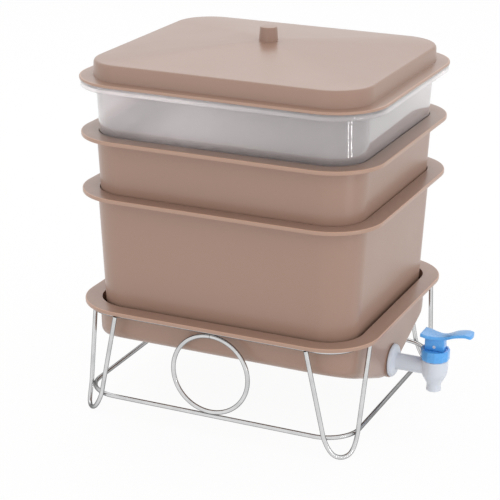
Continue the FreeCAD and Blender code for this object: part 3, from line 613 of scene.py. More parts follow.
# %% Sizes of the trays, in millimetres
FLANGE_T = 2.5
FLANGE_ROUND, CLEAR_ROUND = 1.0, 0.35
LIP_T = 2.4
LIP_H, CLEAR_LIP_H = 4.2, 6.9
LIP_ROUND = 0.4
LIP_SLOPE = 0.05
LIP_ROOT = 0.8
WALL_INSET = 17.0
WALL_T = 2.4
WALL_LEAN = 2.8
WALL_ROOT = 1.0
OPENING_ROUND = 0.7
FLOOR_T = 3.0
BOTTOM_R = 8.0
INNER_FOOT = (0.5, 0.3)     # how far out of the wall's foot the wall ends and its rounding starts
OUTER_FOOT = (0.3, 0.2)
COLLECTOR_TOP = 128.5
DEEP_TOP, DEEP_DEPTH = 258.5, 156.0
SHALLOW_TOP, SHALLOW_DEPTH = 323.0, 85.0
CLEAR_TOP, CLEAR_DEPTH = 381.8, 79.3
SEAT_GAP = 0.2

# %% Tray shell
def lip_profile(top, lip_h):
    """Round the lip's foot and up its inner side to the flange's underside."""
    foot = top - lip_h
    return [(0.0, foot + LIP_ROUND), (0.3 * LIP_ROUND, foot + 0.3 * LIP_ROUND), (LIP_ROUND, foot),
            (LIP_T - LIP_ROUND, foot), (LIP_T, foot + LIP_ROUND),
            (LIP_T + LIP_SLOPE, top - FLANGE_T - LIP_ROOT), (LIP_T + LIP_ROOT, top - FLANGE_T)]


def tray_profiles(top, depth, lip_h, edge):
    """The profile over the flange into the tray, and the one under the flange."""
    bottom = top - depth
    opening = WALL_INSET + WALL_T
    inner_bottom = opening + lean(depth - FLOOR_T, WALL_LEAN)
    inner_r = BOTTOM_R - WALL_T
    inner_z = bottom + FLOOR_T + inner_r
    over = arc((edge, top - edge), edge, 180, 90)
    over += arc((opening - OPENING_ROUND, top - OPENING_ROUND), OPENING_ROUND, 90, 0, 3)
    over += [(inner_bottom - INNER_FOOT[0], inner_z)]
    over += arc((inner_bottom + inner_r - INNER_FOOT[1], inner_z), inner_r, 180, 270, 5)
    outer_bottom = WALL_INSET + lean(depth, WALL_LEAN)
    under = lip_profile(top, lip_h)
    under += [(WALL_INSET - WALL_ROOT, top - FLANGE_T),
              (WALL_INSET - 0.1 * WALL_ROOT, top - FLANGE_T - WALL_ROOT)]
    under += [(outer_bottom - OUTER_FOOT[0], bottom + BOTTOM_R)]
    under += arc((outer_bottom + BOTTOM_R - OUTER_FOOT[1], bottom + BOTTOM_R), BOTTOM_R, 180, 270, 7)
    return over, under


def flange_plate(name, over, under):
    """Plate with the trays' outline, walked over its top and under its foot."""
    plate = rounded_plate(name, FLANGE_HALF_L, FLANGE_HALF_W, CORNER_R, under[0][1], over[0][1])
    walk(plate, True, over)
    walk(plate, False, under)
    return plate


# %% Drain holes
HOLE_PITCH = 25.0
HOLE_R = 4.0
HOLE_ROWS = 4               # on each side of the middle row
PIN_HALF = 10.0


def drill_floor(tray, floor_z, columns):
    """Cut a grid of round holes, with so many columns on each side of the middle one."""
    pins = pin_along("z", HOLE_R, floor_z - PIN_HALF, floor_z + PIN_HALF,
                     (-columns * HOLE_PITCH, -HOLE_ROWS * HOLE_PITCH, 0), 20, "core pins")
    for count, step in ((columns, (HOLE_PITCH * MM, 0, 0)), (HOLE_ROWS, (0, HOLE_PITCH * MM, 0))):
        array = pins.modifiers.new("row of pins", "ARRAY")
        array.count = 2 * count + 1
        array.use_relative_offset = False
        array.use_constant_offset = True
        array.constant_offset_displace = step
    apply_all(pins)
    combine(tray, pins, "DIFFERENCE")
    print((2 * columns + 1) * (2 * HOLE_ROWS + 1), "holes")


# %% Ribs
RIB_T = 3.0
RIB_SPREAD = 75.0           # from the middle of each wall
RIB_ROUND = 0.5
RIB_DEPTH, COLLECTOR_RIB_DEPTH = 13.0, 17.0
RIB_SINK = 1.0              # how deep a rib's foot stands in the floor


def rib(middle, size, z_low, z_top):
    """One moulded rib with slightly rounded top edges."""
    block = box("rib", (*middle, (z_low + z_top) / 2), (*size, z_top - z_low))
    round_off(block, "FACE", looks_up, RIB_ROUND, 2)
    return block


def ribs_for(top, z_top, z_low, depth):
    """Eight ribs on the four walls, whose tops carry the tray above."""
    inset = WALL_INSET + WALL_T + lean(top - z_top, WALL_LEAN)
    root = WALL_INSET + WALL_T / 2 + lean(top - z_low, WALL_LEAN)
    ribs = []
    for side in (-1, 1):
        for along in (-RIB_SPREAD, RIB_SPREAD):
            near, far = FLANGE_HALF_W - inset - depth, FLANGE_HALF_W - root
            ribs.append(rib((along, side * (near + far) / 2), (RIB_T, far - near), z_low, z_top))
            near, far = FLANGE_HALF_L - inset - depth, FLANGE_HALF_L - root
            ribs.append(rib((side * (near + far) / 2, along), (far - near, RIB_T), z_low, z_top))
    return ribs


# %% The three worm trays
for node, top, depth, lip_h, edge, columns, carried, material in (
        ("deep_tray", DEEP_TOP, DEEP_DEPTH, LIP_H, FLANGE_ROUND, 4, SHALLOW_TOP - SHALLOW_DEPTH, taupe),
        ("shallow_tray", SHALLOW_TOP, SHALLOW_DEPTH, LIP_H, FLANGE_ROUND, 5, CLEAR_TOP - CLEAR_DEPTH, taupe),
        ("clear_tray", CLEAR_TOP, CLEAR_DEPTH, CLEAR_LIP_H, CLEAR_ROUND, 5, None, frosted)):
    tray = flange_plate(node + "_shell", *tray_profiles(top, depth, lip_h, edge))
    drill_floor(tray, top - depth + FLOOR_T / 2, columns)
    if carried:
        tray = join([tray] + ribs_for(top, carried - SEAT_GAP, top - depth + RIB_SINK, RIB_DEPTH))
    done(tray, material, node)

# %% [markdown]
# ## The collector tray
#
# The lowest tray has a trough for a floor: it falls from both long walls to a
# flat gutter, so that the liquid runs to the tap. It is made as a mould maker
# would see it. One block is the outside, a slightly smaller one is the inside,
# and each gets its sloping underside from two bisect cuts. A Boolean modifier
# then takes the inside out of the outside.

# %% Sizes of the collector tray, in millimetres
COLLECTOR_INSET = 16.6
COLLECTOR_LEAN = 2.0
SIDE_DEPTH = 37.3
SUMP_Z = 42.5
SUMP_HALF_W = 14.0
FLOOR_ROUNDING = 9.0
START_T = 1.0               # thickness of the plate that each trough block starts from
RIM_OVERLAP = 0.4           # how far under the flange's top the outer block ends
CUT_OVER = 1.0              # how far over it the inner blocks reach
TAP_Z = 61.3
TAP_X = 207.5
TAP_HOLE_R = 9.3
BOSS_FACE = 156.8
BOSS_R = 20.0
BOSS_T = 6.0

# %% The trough's blocks
def trough_block(inset, rise, rounding, top):
    """Drafted block whose underside falls from both sides to a flat gutter."""
    low = SUMP_Z + rise
    start = COLLECTOR_TOP - START_T
    begin = inset + lean(START_T, COLLECTOR_LEAN)
    block = rounded_plate("trough block", FLANGE_HALF_L - begin, FLANGE_HALF_W - begin,
                          CORNER_R - begin, start, top)
    walk(block, False, [(0.0, start), (lean(start - low, COLLECTOR_LEAN), low)])
    side_z = COLLECTOR_TOP - SIDE_DEPTH + rise
    half_w = FLANGE_HALF_W - COLLECTOR_INSET - lean(SIDE_DEPTH, COLLECTOR_LEAN)
    edit(block)
    for side in (-1, 1):
        across_slope = Vector((0, side * (side_z - low), SUMP_HALF_W - half_w)).normalized()
        select_everything()
        bpy.ops.mesh.bisect(plane_co=(0, side * half_w * MM, side_z * MM), plane_no=across_slope,
                            use_fill=True, clear_outer=True)
    leave()
    round_off(block, "EDGE", lambda edge: any(face.normal.z < -0.8 for face in edge.link_faces), rounding, 6)
    return block


# %% The collector tray
def inner_trough(share):
    """Block that lies inside the tray's outside by a share of the wall."""
    return trough_block(COLLECTOR_INSET + WALL_T * share, FLOOR_T * share, FLOOR_ROUNDING - WALL_T * share,
                        COLLECTOR_TOP + CUT_OVER)


rim_edge = arc((FLANGE_ROUND, COLLECTOR_TOP - FLANGE_ROUND), FLANGE_ROUND, 180, 90)
collector = flange_plate("collector rim", rim_edge, lip_profile(COLLECTOR_TOP, LIP_H))
combine(collector, trough_block(COLLECTOR_INSET, 0.0, FLOOR_ROUNDING, COLLECTOR_TOP - RIM_OVERLAP), "UNION")
combine(collector, inner_trough(1), "DIFFERENCE")
combine(collector, pin_along("x", BOSS_R, BOSS_FACE - BOSS_T, BOSS_FACE, (0, 0, TAP_Z), 72), "UNION")
bore(collector, "x", TAP_HOLE_R, BOSS_FACE - 2 * BOSS_T, BOSS_FACE + BOSS_T, (0, 0, TAP_Z))
ribs = join(ribs_for(COLLECTOR_TOP, DEEP_TOP - DEEP_DEPTH - SEAT_GAP, SUMP_Z, COLLECTOR_RIB_DEPTH))
combine(ribs, inner_trough(1 / 2), "INTERSECT")
collector = join([collector, ribs])
collector.name = "collector_shell"
done(collector, taupe, "collector_tray")

# %% [markdown]
# ## The lid and its knob
#
# The lid is one more plate with insets: its flange lies on the tray below, a
# raised panel stands on it with softly rounded edges, and from the panel's rim
# four very shallow slopes rise to the knob. Extruding the top face upwards
# while scaling it down gives those slopes. The underside repeats the form one
# wall thickness lower, with a skirt that keeps the lid in place.

# %% Sizes of the lid, in millimetres
LID_OVERHANG = 0.75
LID_LOW = CLEAR_TOP + SEAT_GAP
LID_FLANGE_T = 2.55
LID_FLANGE_TOP = LID_LOW + LID_FLANGE_T
LID_ROUND, LID_FOOT_ROUND = 1.0, 0.3
PANEL_INSET = 15.25
PANEL_ROOT = 0.5
PANEL_H = 18.15
PANEL_LEAN = 2.7
PANEL_R = 4.0
PANEL_RIM = LID_FLANGE_TOP + PANEL_H
CROWN_H = 11.2
CROWN_TOP = PANEL_RIM + CROWN_H
CROWN_HALF = 15.0
CROWN_STEPS = 8
SKIRT_GAP = 0.7
SKIRT_H = 4.0
SKIRT_ROUND = 0.4
SCREW_HOLE_R = 2.15

# %% The lid
def raise_crown(plate, up):
    """Draw the last face up to a small flat seat, in steps that keep the slopes straight."""
    edit(plate)
    start = select_cap(plate, up)
    half_l, half_w = start
    for step in range(1, CROWN_STEPS + 1):
        next_l, next_w = [half + (CROWN_HALF * MM - half) * step / CROWN_STEPS for half in start]
        extrude((0, 0, CROWN_H / CROWN_STEPS * MM))
        resize((next_l / half_l, next_w / half_w, 1))
        half_l, half_w = next_l, next_w
    leave()


def make_lid():
    over = arc((LID_ROUND, LID_FLANGE_TOP - LID_ROUND), LID_ROUND, 180, 90)
    over += [(PANEL_INSET - PANEL_ROOT, LID_FLANGE_TOP), (PANEL_INSET - 0.15, LID_FLANGE_TOP + 0.1),
             (PANEL_INSET + 0.03, LID_FLANGE_TOP + PANEL_ROOT)]
    panel_top = PANEL_INSET + lean(PANEL_H, PANEL_LEAN)
    over += arc((panel_top + PANEL_R - 0.2, PANEL_RIM - PANEL_R), PANEL_R, 177, 96, 8)
    plate = rounded_plate("lid_shell", FLANGE_HALF_L + LID_OVERHANG, FLANGE_HALF_W + LID_OVERHANG,
                          CORNER_R + LID_OVERHANG, LID_LOW + LID_FOOT_ROUND, LID_FLANGE_TOP - LID_ROUND)
    walk(plate, True, over)
    raise_crown(plate, True)
    skirt = WALL_INSET + WALL_T + SKIRT_GAP + LID_OVERHANG
    foot, bend, hollow = LID_LOW - SKIRT_H, LID_LOW - SKIRT_H + SKIRT_ROUND, LID_LOW + WALL_T
    under = [(0.0, LID_LOW + LID_FOOT_ROUND), (LID_FOOT_ROUND, LID_LOW), (skirt, LID_LOW),
             (skirt + 0.1, bend), (skirt + 0.5, foot), (skirt + 1.5, foot), (skirt + 2.0, bend),
             (skirt + 2.1, hollow), (skirt + 0.6, hollow + 0.01)]
    inner = PANEL_INSET + WALL_T + lean(PANEL_H - WALL_T, PANEL_LEAN)
    under += [(inner + 1.0, PANEL_RIM - WALL_T - 0.2)]
    walk(plate, False, under)
    raise_crown(plate, False)
    return plate


lid = make_lid()
bore(lid, "z", SCREW_HOLE_R, CROWN_TOP - 6.0, CROWN_TOP + 4.0, (0, 0, 0), 24)
done(lid, taupe, "lid")

# %% The knob
KNOB_R, KNOB_TOP_R = 10.5, 9.5
KNOB_H = 15.6
KNOB_ROUND = 1.2
SCREW_BORE_R, SCREW_BORE_DEPTH = 1.8, 10.0

knob = pin_along("z", KNOB_R, CROWN_TOP, CROWN_TOP + KNOB_H, (0, 0, 0), 72, "knob")
edit(knob)
pick("FACE", looks_up)
resize((KNOB_TOP_R / KNOB_R, KNOB_TOP_R / KNOB_R, 1))
soften(KNOB_ROUND, 5)
pick("FACE", looks_down)
bpy.ops.mesh.inset(thickness=(KNOB_R - SCREW_BORE_R) * MM)
extrude((0, 0, SCREW_BORE_DEPTH * MM))
leave()
done(knob, taupe, "lid_knob")

# %% [markdown]
# ## The wire stand
#
# Wire is modelled the way it is bent: a round section is extruded along the
# straight stretches and spun round the bends. The two rings close on
# themselves. Each leg is one wire bent into a narrow U whose foot flares out,
# so its section is drawn along a smooth path and turned a little at each step.

# %% Sizes of the stand, in millimetres
WIRE_R = 2.5
WELD_GAP = 0.1
RING_HALF_L = 161.5
RING_HALF_W = 149.0
RING_R = 40.0
TOP_RING_Z = 123.3
LOWER_RING_Z = 23.5
LEG_GAP = 0.8
LEG_TOP = COLLECTOR_TOP - LIP_H - LEG_GAP
KNEE_Z = 18.0
TOP_SPREAD, KNEE_SPREAD = 37.4, 18.8
LEG_TOP_OUT = (RING_R + 2 * WIRE_R + WELD_GAP) * sqrt(2) - TOP_SPREAD
LEG_LEAN = 7.3
FOOT_FLARE = 21.5
FOOT_R = 15.5
KNEE_BEND = 8.0

# %% Bending wire
def section(name, centre, direction, radius=WIRE_R):
    """Round section of wire, ready in edit mode, with its edge selected."""
    turn = Vector(direction).to_track_quat("Z", "Y").to_euler()
    bpy.ops.mesh.primitive_circle_add(vertices=16, radius=radius * MM, location=Vector(centre) * MM,
                                      rotation=turn)
    wire = added(name)
    place(wire)
    edit(wire)
    select_everything()
    return wire


def wire_ring(name, half_l, half_w, radius, z):
    """Closed ring: four rods by extrusion and four bends by spin."""
    wire = section(name, (half_l, -(half_w - radius), z), (0, 1, 0))
    for half, along, right, far in ((half_w, (0, 1, 0), 1, 1), (half_l, (-1, 0, 0), -1, 1),
                                    (half_w, (0, -1, 0), -1, -1), (half_l, (1, 0, 0), 1, -1)):
        run = 2 * (half - radius) * MM
        bpy.ops.mesh.extrude_edges_move(TRANSFORM_OT_translate={"value": Vector(along) * run})
        corner = ((half_l - radius) * right * MM, (half_w - radius) * far * MM, z * MM)
        bpy.ops.mesh.spin(steps=16, angle=-pi / 2, center=corner, axis=(0, 0, 1))
    select_everything()
    bpy.ops.mesh.remove_doubles(threshold=0.00002)
    close_up()
    return wire


def turn_section(centre, turn):
    """Turn the selected section about its own centre, one axis after another."""
    for axis, angle in zip("XYZ", turn.to_euler("XYZ")):
        if abs(angle) > 1e-7:
            bpy.ops.transform.rotate(value=-angle, orient_axis=axis, orient_type="GLOBAL",
                                     center_override=centre)


def bend_wire(name, points, radius=WIRE_R):
    """Draw a section through points, turning it half a bend before and after each one."""
    points = [Vector(point) for point in points]
    heading = (points[1] - points[0]).normalized()
    wire = section(name, points[0], heading, radius)
    bpy.ops.mesh.edge_face_add()
    bpy.ops.mesh.select_mode(type="FACE")
    for before, here, after in zip(points, points[1:], points[2:]):
        extrude((here - before) * MM)
        wanted = ((here - before).normalized() + (after - here).normalized()).normalized()
        if heading.cross(wanted).length > 1e-6:
            turn_section(here * MM, heading.rotation_difference(wanted))
        heading = wanted
    extrude((points[-1] - points[-2]) * MM)
    close_up()
    return wire


# %% Where a leg's two strands run
def half_spread(z):
    """Half the distance between a leg's two strands at a height above the knee."""
    share = (LEG_TOP - z) / (LEG_TOP - KNEE_Z)
    return TOP_SPREAD + (KNEE_SPREAD - TOP_SPREAD) * share


def leg_out(z):
    """How far out of the ring's corner a leg stands at a height above the knee."""
    return LEG_TOP_OUT + lean(LEG_TOP - z, LEG_LEAN)


# %% The two rings
top_ring = wire_ring("top_ring_wire", RING_HALF_L, RING_HALF_W, RING_R, TOP_RING_Z)
done(top_ring, plated_wire, "stand_top_ring", angle=60)
lower_r = hypot(half_spread(LOWER_RING_Z), leg_out(LOWER_RING_Z)) - 2 * WIRE_R - WELD_GAP
lower_ring = wire_ring("lower_ring_wire", RING_HALF_L + lower_r - RING_R, RING_HALF_W + lower_r - RING_R,
                       lower_r, LOWER_RING_Z)
done(lower_ring, plated_wire, "stand_lower_ring", angle=60)

# %% Smooth curves
def curve_between(start, end, slope_in, slope_out, t):
    """Point at share t of a smooth curve that leaves and arrives with given slopes."""
    return (start * (2 * t ** 3 - 3 * t ** 2 + 1) + slope_in * (t ** 3 - 2 * t ** 2 + t)
            + end * (3 * t ** 2 - 2 * t ** 3) + slope_out * (t ** 3 - t ** 2))


def slope_at(before, here, after, first, second):
    """Slope of a curve at the middle one of three knots, which two spans divide."""
    return (here - before) / first - (after - before) / (first + second) + (after - here) / second


def smooth_through(knots, steps):
    """Points on a smooth curve through the knots; its ends keep their direction."""
    knots = [Vector(knot) for knot in knots]
    spans = [max((b - a).length, 1e-6) ** 0.5 for a, b in zip(knots, knots[1:])]
    points = []
    for i in range(1, len(knots) - 2):
        slope_in = slope_at(*knots[i - 1:i + 2], *spans[i - 1:i + 1]) * spans[i]
        slope_out = slope_at(*knots[i:i + 3], *spans[i:i + 2]) * spans[i]
        for step in range(steps):
            points.append(curve_between(knots[i], knots[i + 1], slope_in, slope_out, step / steps))
    return points + [knots[-2]]


# %% The four legs
def foot_place(degrees):
    """Out, side and height on the foot's round bend, counted from its lowest point."""
    flare = radians(FOOT_FLARE)
    climb = FOOT_R * (1 - cos(radians(degrees)))
    out = leg_out(KNEE_Z) + lean(KNEE_Z - WIRE_R, FOOT_FLARE)
    side = FOOT_R * sin(radians(degrees))
    return out - climb * sin(flare), side, WIRE_R + climb * cos(flare)


def leg_path():
    """One leg's path as (out, side, height), from the top of one strand to the other's."""
    bend = KNEE_Z + KNEE_BEND
    strand = [(leg_out(z), half_spread(z), z) for z in (LEG_TOP, LEG_TOP / 2 + bend / 2, bend)]
    half = strand + [foot_place(degrees) for degrees in (60, 30, 0)]
    return half + [(out, -side, z) for out, side, z in reversed(half[:-1])]


def make_leg(name, sign_x, sign_y):
    knots = []
    for out, side, z in leg_path():
        x = RING_HALF_L - RING_R + (out + side) / sqrt(2)
        y = RING_HALF_W - RING_R + (out - side) / sqrt(2)
        knots.append(Vector((sign_x * x, sign_y * y, z)))
    curve = smooth_through(knots[1:-1], 6)
    return bend_wire(name, [knots[0]] + curve + [knots[-1]])


for depth_word, sign_y in (("front", -1), ("rear", 1)):
    for side_word, sign_x in (("left", -1), ("right", 1)):
        place_word = depth_word + "_" + side_word
        leg = make_leg("leg_wire_" + place_word, sign_x, sign_y)
        done(leg, plated_wire, "stand_leg_" + place_word, angle=60)

# %% The round ornaments
ORNAMENT_R = (TOP_RING_Z - LOWER_RING_Z) / 2 - 2 * WIRE_R - WELD_GAP
ORNAMENT_Z = (TOP_RING_Z + LOWER_RING_Z) / 2
SEAM_HALF = 0.25


def make_ornament(name, y):
    """Wire spun almost full circle, so that its two cut ends meet in a fine seam at the top."""
    gap = SEAM_HALF / ORNAMENT_R
    start = pi / 2 + gap
    centre = Vector((ORNAMENT_R * cos(start), y, ORNAMENT_Z + ORNAMENT_R * sin(start)))
    wire = section(name, centre, (-sin(start), 0, cos(start)))
    bpy.ops.mesh.edge_face_add()
    bpy.ops.mesh.select_mode(type="FACE")
    bpy.ops.mesh.spin(steps=96, angle=2 * pi - 2 * gap, center=(0, y * MM, ORNAMENT_Z * MM),
                      axis=(0, 1, 0))
    close_up()
    return wire


for depth_word, sign_y in (("front", -1), ("rear", 1)):
    ornament = make_ornament("ornament_wire_" + depth_word, sign_y * RING_HALF_W)
    done(ornament, plated_wire, "stand_ornament_" + depth_word, angle=60)

# %% [markdown]
# ## The tap
#
# The tap's body is one moulding: a domed round flange, a level tube, and an
# upright barrel that narrows in a soft curve to the spout. Flange with tube,
# and barrel with spout, are each turned like work on a lathe: a disc is
# extruded step by step while its size changes. A Boolean joins the two and
# bores the water way. The blue collar is a twelve-sided prism, and the lever
# is drawn out section by section along its curved length.

# %% Turning on the lathe
def turned(name, profile, base, axis):
    """Solid of revolution from (along, radius) pairs in millimetres, from base along axis."""
    along, radius = profile[0]
    start = Vector(base)
    unit = Vector([1.0 if letter == axis else 0.0 for letter in "xyz"])
    bpy.ops.mesh.primitive_circle_add(vertices=64, radius=radius * MM, fill_type="NGON",
                                      location=(start + unit * along) * MM, rotation=TURNS[axis])
    solid = added(name)
    place(solid)
    edit(solid)
    bpy.ops.mesh.select_mode(type="FACE")
    select_everything()
    for (along, radius), (next_along, next_radius) in zip(profile, profile[1:]):
        extrude(unit * (next_along - along) * MM)
        size = next_radius / radius
        factors = [1.0 if letter == axis else size for letter in "xyz"]
        resize(factors, (start + unit * next_along) * MM)
    close_up()
    return solid


# %% The tap's body
FLANGE_BACK = 157.3
FLANGE_RIM = ((0.0, 18.6), (0.4, 19.0), (1.6, 19.0), (2.1, 18.7))       # (along, radius) from its back
DOME_START, DOME_H = 2.1, 3.4
DOME_INNER_R, DOME_T = 9.6, 9.1
TUBE_R = 9.3
SPOUT = ((34.5, 7.9), (34.9, 8.4), (37.3, 8.4), (37.8, 8.1), (42.0, 8.1), (43.4, 8.5), (45.0, 9.3),
         (46.6, 10.1), (48.2, 11.0), (50.0, 12.0), (52.0, 13.0), (54.0, 13.8), (56.5, 14.6))
BARREL_R, BARREL_FOOT, BARREL_TOP = 14.9, 59.5, 71.7
NECK_R, NECK_TOP = 13.6, 80.6
VALVE_BORE_R, VALVE_FLOOR = 11.0, 57.0
SPOUT_BORE_R = 6.5
SHANK_R, SHANK_L = 9.0, 24.0
WATER_WAY_R = 4.8


def make_tap_body():
    dome = [(FLANGE_BACK + along, radius) for along, radius in FLANGE_RIM]
    for degrees in (20, 40, 60, 80):
        angle = radians(degrees)
        along = FLANGE_BACK + DOME_START + DOME_H * sin(angle)
        dome.append((along, DOME_INNER_R + DOME_T * cos(angle)))
    dome += [(FLANGE_BACK + 6.0, TUBE_R + 0.4), (FLANGE_BACK + 7.0, TUBE_R), (TAP_X, TUBE_R)]
    body = turned("tap_moulding", dome, (0, 0, TAP_Z), "x")
    barrel = list(SPOUT) + [
        (BARREL_FOOT, BARREL_R), (BARREL_TOP - 0.6, BARREL_R), (BARREL_TOP, BARREL_R - 0.6),
        (BARREL_TOP + 0.01, NECK_R), (NECK_TOP - 0.4, NECK_R), (NECK_TOP, NECK_R - 0.4)]
    combine(body, turned("barrel", barrel, (TAP_X, 0, 0), "z"), "UNION")
    upright, level = (TAP_X, 0, 0), (0, 0, TAP_Z)
    bore(body, "z", VALVE_BORE_R, VALVE_FLOOR, NECK_TOP + 2, upright)
    bore(body, "z", SPOUT_BORE_R, 30.0, VALVE_FLOOR + 1.0, upright)
    combine(body, pin_along("x", SHANK_R, FLANGE_BACK - SHANK_L, FLANGE_BACK + 1.0, level), "UNION")
    bore(body, "x", WATER_WAY_R, FLANGE_BACK - SHANK_L - 6.0, TAP_X, level, 32)
    return body


done(make_tap_body(), milky, "tap_body", angle=40)

# %% The blue collar
COLLAR_LOW, COLLAR_TOP = 72.0, 84.6
COLLAR_R, COLLAR_SIDES = 16.4, 12
NECK_FIT_R, CUP_R, STEM_HOLE_R = 13.75, 13.8, 4.08
CUP_DEPTH = 1.4
LOW_ROUND, TOP_ROUND, SIDE_ROUND = 1.8, 0.6, 0.5

bpy.ops.mesh.primitive_cylinder_add(vertices=COLLAR_SIDES, radius=COLLAR_R * MM,
                                    depth=(COLLAR_TOP - COLLAR_LOW) * MM,
                                    location=(TAP_X * MM, 0, (COLLAR_LOW + COLLAR_TOP) / 2 * MM),
                                    rotation=(0, 0, pi / COLLAR_SIDES))
collar = added("collar_ring")
place(collar)
round_off(collar, "FACE", looks_down, LOW_ROUND, 3)
round_off(collar, "FACE", looks_up, TOP_ROUND, 3)
round_off(collar, "EDGE", stands_upright, SIDE_ROUND, 2)
bore(collar, "z", NECK_FIT_R, COLLAR_LOW - 2, NECK_TOP + 0.2, (TAP_X, 0, 0), 64)
bore(collar, "z", CUP_R, COLLAR_TOP - CUP_DEPTH, COLLAR_TOP + 2, (TAP_X, 0, 0), 64)
bore(collar, "z", STEM_HOLE_R, COLLAR_LOW, COLLAR_TOP, (TAP_X, 0, 0), 32)
done(collar, blue, "tap_collar", angle=25)

# %% The lever's plate
BLOCK_LOW, BLOCK_TOP = 83.45, 101.0
PLATE_T, PLATE_ROUND = 3.6, 1.1
LEVER_START, STATION_STEP, STATIONS = 192.4, 2.7, 20
RISES = ((192.4, 2.7), (203.0, 0.9), (214.0, 0.5), (222.0, 2.3), (230.5, 6.0), (243.5, 8.5), (250.3, 7.3))
HALF_WIDTHS = ((192.4, 11.2), (199.6, 11.2), (208.0, 8.7), (217.0, 6.6), (230.5, 8.4), (247.0, 8.4))
TIP_CORNER_X, TIP_CORNER_R = 247.0, 2.4
TIP_CORNER_SIDE = 6.0
TIP_CENTRE_X, TIP_R = 227.45, 22.85


def along_curve(knots, x):
    """Smooth value at x through (x, value) knots."""
    for i in range(len(knots) - 1):
        if x <= knots[i + 1][0]:
            break
    (x0, v0), (x1, v1) = knots[i], knots[i + 1]
    slopes = []
    for j in (i, i + 1):
        low, high = max(j - 1, 0), min(j + 1, len(knots) - 1)
        slopes.append((knots[high][1] - knots[low][1]) / (knots[high][0] - knots[low][0]))
    run = x1 - x0
    return curve_between(v0, v1, slopes[0] * run, slopes[1] * run, (x - x0) / run)


def lever_stations():
    """Places along the lever with their half widths, up to its rounded tip."""
    places = [LEVER_START + STATION_STEP * i for i in range(STATIONS)]
    stations = [(x, along_curve(HALF_WIDTHS, x)) for x in places]
    stations.append(HALF_WIDTHS[-1])
    for degrees in (75, 60, 45, 30, 17):
        angle = radians(degrees)
        stations.append((TIP_CORNER_X + TIP_CORNER_R * cos(angle),
                         TIP_CORNER_SIDE + TIP_CORNER_R * sin(angle)))
    for half_width in (5.0, 3.5, 2.0, 0.4):
        stations.append((TIP_CENTRE_X + sqrt(TIP_R ** 2 - half_width ** 2), half_width))
    return stations


def make_lever():
    stations = lever_stations()
    middle_z = BLOCK_TOP + RISES[0][1] - PLATE_T / 2
    bpy.ops.mesh.primitive_plane_add(size=1.0, location=(LEVER_START * MM, 0, middle_z * MM),
                                     rotation=(0, -pi / 2, 0))
    plate = added("lever_moulding")
    plate.scale = (PLATE_T * MM, 2 * stations[0][1] * MM, 1)
    place(plate)
    edit(plate)
    bpy.ops.mesh.select_mode(type="FACE")
    select_everything()
    for (x, width), (next_x, next_width) in zip(stations, stations[1:]):
        rise = along_curve(RISES, next_x) - along_curve(RISES, x)
        extrude(((next_x - x) * MM, 0, rise * MM))
        resize((1, next_width / width, 1))
    close_up()
    rounded = plate.modifiers.new("soft edges", "BEVEL")
    rounded.width = PLATE_ROUND * MM
    rounded.segments = 4
    rounded.angle_limit = radians(50)
    apply_all(plate)
    return plate


# %% The lever's block, slot and pin hole
BLOCK_L, BLOCK_W, BLOCK_SINK, BLOCK_ROUND = 22.4, 11.0, 1.5, 0.8
SLOT_L, SLOT_W, SLOT_TOP, SLOT_OVER = 14.0, 4.5, 95.0, 2.0
PIN_R, PIN_Z = 1.8, 88.0

lever = make_lever()
block_top = BLOCK_TOP - BLOCK_SINK
block = box("lever block", (TAP_X, 0, (BLOCK_LOW + block_top) / 2), (BLOCK_L, BLOCK_W, block_top - BLOCK_LOW))
round_off(block, "FACE", lambda face: True, BLOCK_ROUND, 3)
combine(lever, block, "UNION")
stem_slot = box("slot tool", (TAP_X, 0, (BLOCK_LOW + SLOT_TOP - SLOT_OVER) / 2),
                (SLOT_L, SLOT_W, SLOT_TOP - BLOCK_LOW + SLOT_OVER))
combine(lever, stem_slot, "DIFFERENCE")
bore(lever, "y", PIN_R, -20.0, 20.0, (TAP_X, 0, PIN_Z), 32)
done(lever, blue, "tap_lever", angle=35)

# %% [markdown]
# ## Small parts inside
#
# The washers, the nut, the valve and the screw already have their right shapes
# as solids. They only need their own surfaces.

# %% Materials of the small parts
for node, material in (("tap_outer_washer", black_rubber), ("tap_inner_washer", black_rubber),
                       ("tap_seal", black_rubber), ("tap_lock_nut", milky), ("tap_stem", milky),
                       ("tap_pivot_pin", milky), ("knob_screw", zinc_steel)):
    paint(bpy.data.objects[node], material)
print("small parts dressed")

# %% [markdown]
# ## The closing spring
#
# A wire section is drawn up a steady climb.

# %% Spring
SPRING_LOW, SPRING_HIGH = 63.65, 80.15
SPRING_R, SPRING_WIRE_R, SPRING_TURNS = 5.75, 0.53, 6
TURN_STEPS = 20
coil = []
for step in range(SPRING_TURNS * TURN_STEPS + 1):
    angle = 2 * pi * step / TURN_STEPS
    height = SPRING_LOW + (SPRING_HIGH - SPRING_LOW) * step / (SPRING_TURNS * TURN_STEPS)
    coil.append((TAP_X + SPRING_R * cos(angle), SPRING_R * sin(angle), height))
spring = bend_wire("closing_spring", coil, SPRING_WIRE_R)
done(spring, zinc_steel, "tap_spring", angle=60)
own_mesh(spring)

# %% [markdown]
# ## Floor, light and background
#
# The photograph was taken on white, under wide soft light. A large white floor
# and a white world give that background, and the floor keeps the faint shadow
# under the stand. Three wide lamps give the plastic its soft gradients. Two
# narrow strips light nothing, and show only as the thin bright lines in the
# see-through tray's glossy corner.

# %% Floor
FLOOR_Z = -0.0002
FLOOR_WHITE = 0.93
FLOOR_GLOW_SHARE = 0.94


def seen_directly(tree):
    """One for rays that come from the camera, a mirror or clear plastic, and none for light."""
    ray = add_node(tree, "LightPath", {}).outputs
    seen = math_node(tree, "MAXIMUM", ray["Is Camera Ray"], ray["Is Glossy Ray"])
    return math_node(tree, "MAXIMUM", seen, ray["Is Transmission Ray"])


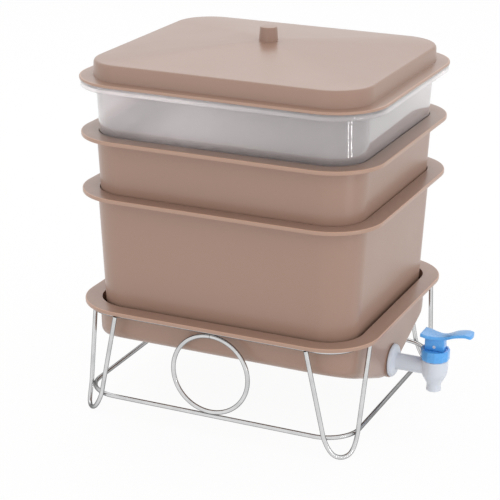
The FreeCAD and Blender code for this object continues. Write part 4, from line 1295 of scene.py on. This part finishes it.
bpy.ops.mesh.primitive_plane_add(size=8.0, location=(0, 0, FLOOR_Z))
floor = added("floor")
floor_paint, ground, floor_shader, _ = blank_material("white floor")
fill(ground, floor_shader, {"Base Color": (FLOOR_WHITE, FLOOR_WHITE, FLOOR_WHITE, 1), "Roughness": 0.9})
floor_glow = add_node(ground, "Emission", {"Color": WHITE, "Strength": 1.0})
glow_share = math_node(ground, "MULTIPLY", seen_directly(ground), FLOOR_GLOW_SHARE)
mix_shaders(ground, glow_share, ground.nodes["Principled BSDF"], floor_glow, "Material Output")
paint(floor, floor_paint)

# %% World
ROOM_LIGHT = 0.82
world = bpy.data.worlds.new("soft white room")
bpy.context.scene.world = world
world.use_nodes = True
room = world.node_tree
fill(room, room.nodes["Background"].inputs, {"Color": WHITE, "Strength": ROOM_LIGHT})
white_wall = add_node(room, "Background", {"Color": WHITE, "Strength": 1.0})
mix_shaders(room, seen_directly(room), room.nodes["Background"], white_wall, "World Output")

# %% Lamps
def softbox(name, place_at, aim, size, power, in_reflections=False):
    """Wide lamp that points from one place at another, in metres and watts."""
    lamp = bpy.data.lights.new(name, "AREA")
    lamp.shape = "RECTANGLE"
    lamp.size, lamp.size_y = size
    lamp.energy = power
    holder = bpy.data.objects.new(name, lamp)
    holder.location = place_at
    holder.rotation_euler = (Vector(aim) - Vector(place_at)).to_track_quat("-Z", "Y").to_euler()
    holder.visible_camera = False
    holder.visible_glossy = in_reflections
    bpy.context.collection.objects.link(holder)
    return holder


softbox("top light", (-0.5, 1.1, 1.7), (0, 0, 0.35), (2.4, 1.6), 12.0, in_reflections=True)
softbox("side light", (1.7, -0.6, 0.9), (0, 0, 0.2), (1.0, 1.2), 7.0)
softbox("front light", (-0.3, -1.6, 0.4), (0, 0, 0.1), (1.4, 0.7), 3.5)

# %% Narrow strips
STRIP_SIZE = (0.009, 0.117)
STRIP_POWER = 0.06
TRAY_CORNER = (0.145, -0.125, 0.345)


def strip_light(name, centre, along):
    """Narrow lamp that is only seen as a thin bright line in glossy corners."""
    holder = softbox(name, centre, TRAY_CORNER, STRIP_SIZE, STRIP_POWER, in_reflections=True)
    back = (Vector(centre) - Vector(TRAY_CORNER)).normalized()
    side = Vector(along).cross(back).normalized()
    holder.rotation_euler = Matrix((side, back.cross(side), back)).transposed().to_euler()
    holder.visible_diffuse = False
    holder.visible_transmission = False


strip_light("left strip", (0.668, -0.323, 0.1225), (0.015, 0.054, -0.047))
strip_light("right strip", (0.6985, -0.215, 0.1225), (0.008, 0.062, -0.047))
bpy.context.scene.view_settings.view_transform = "Standard"
print("lit")
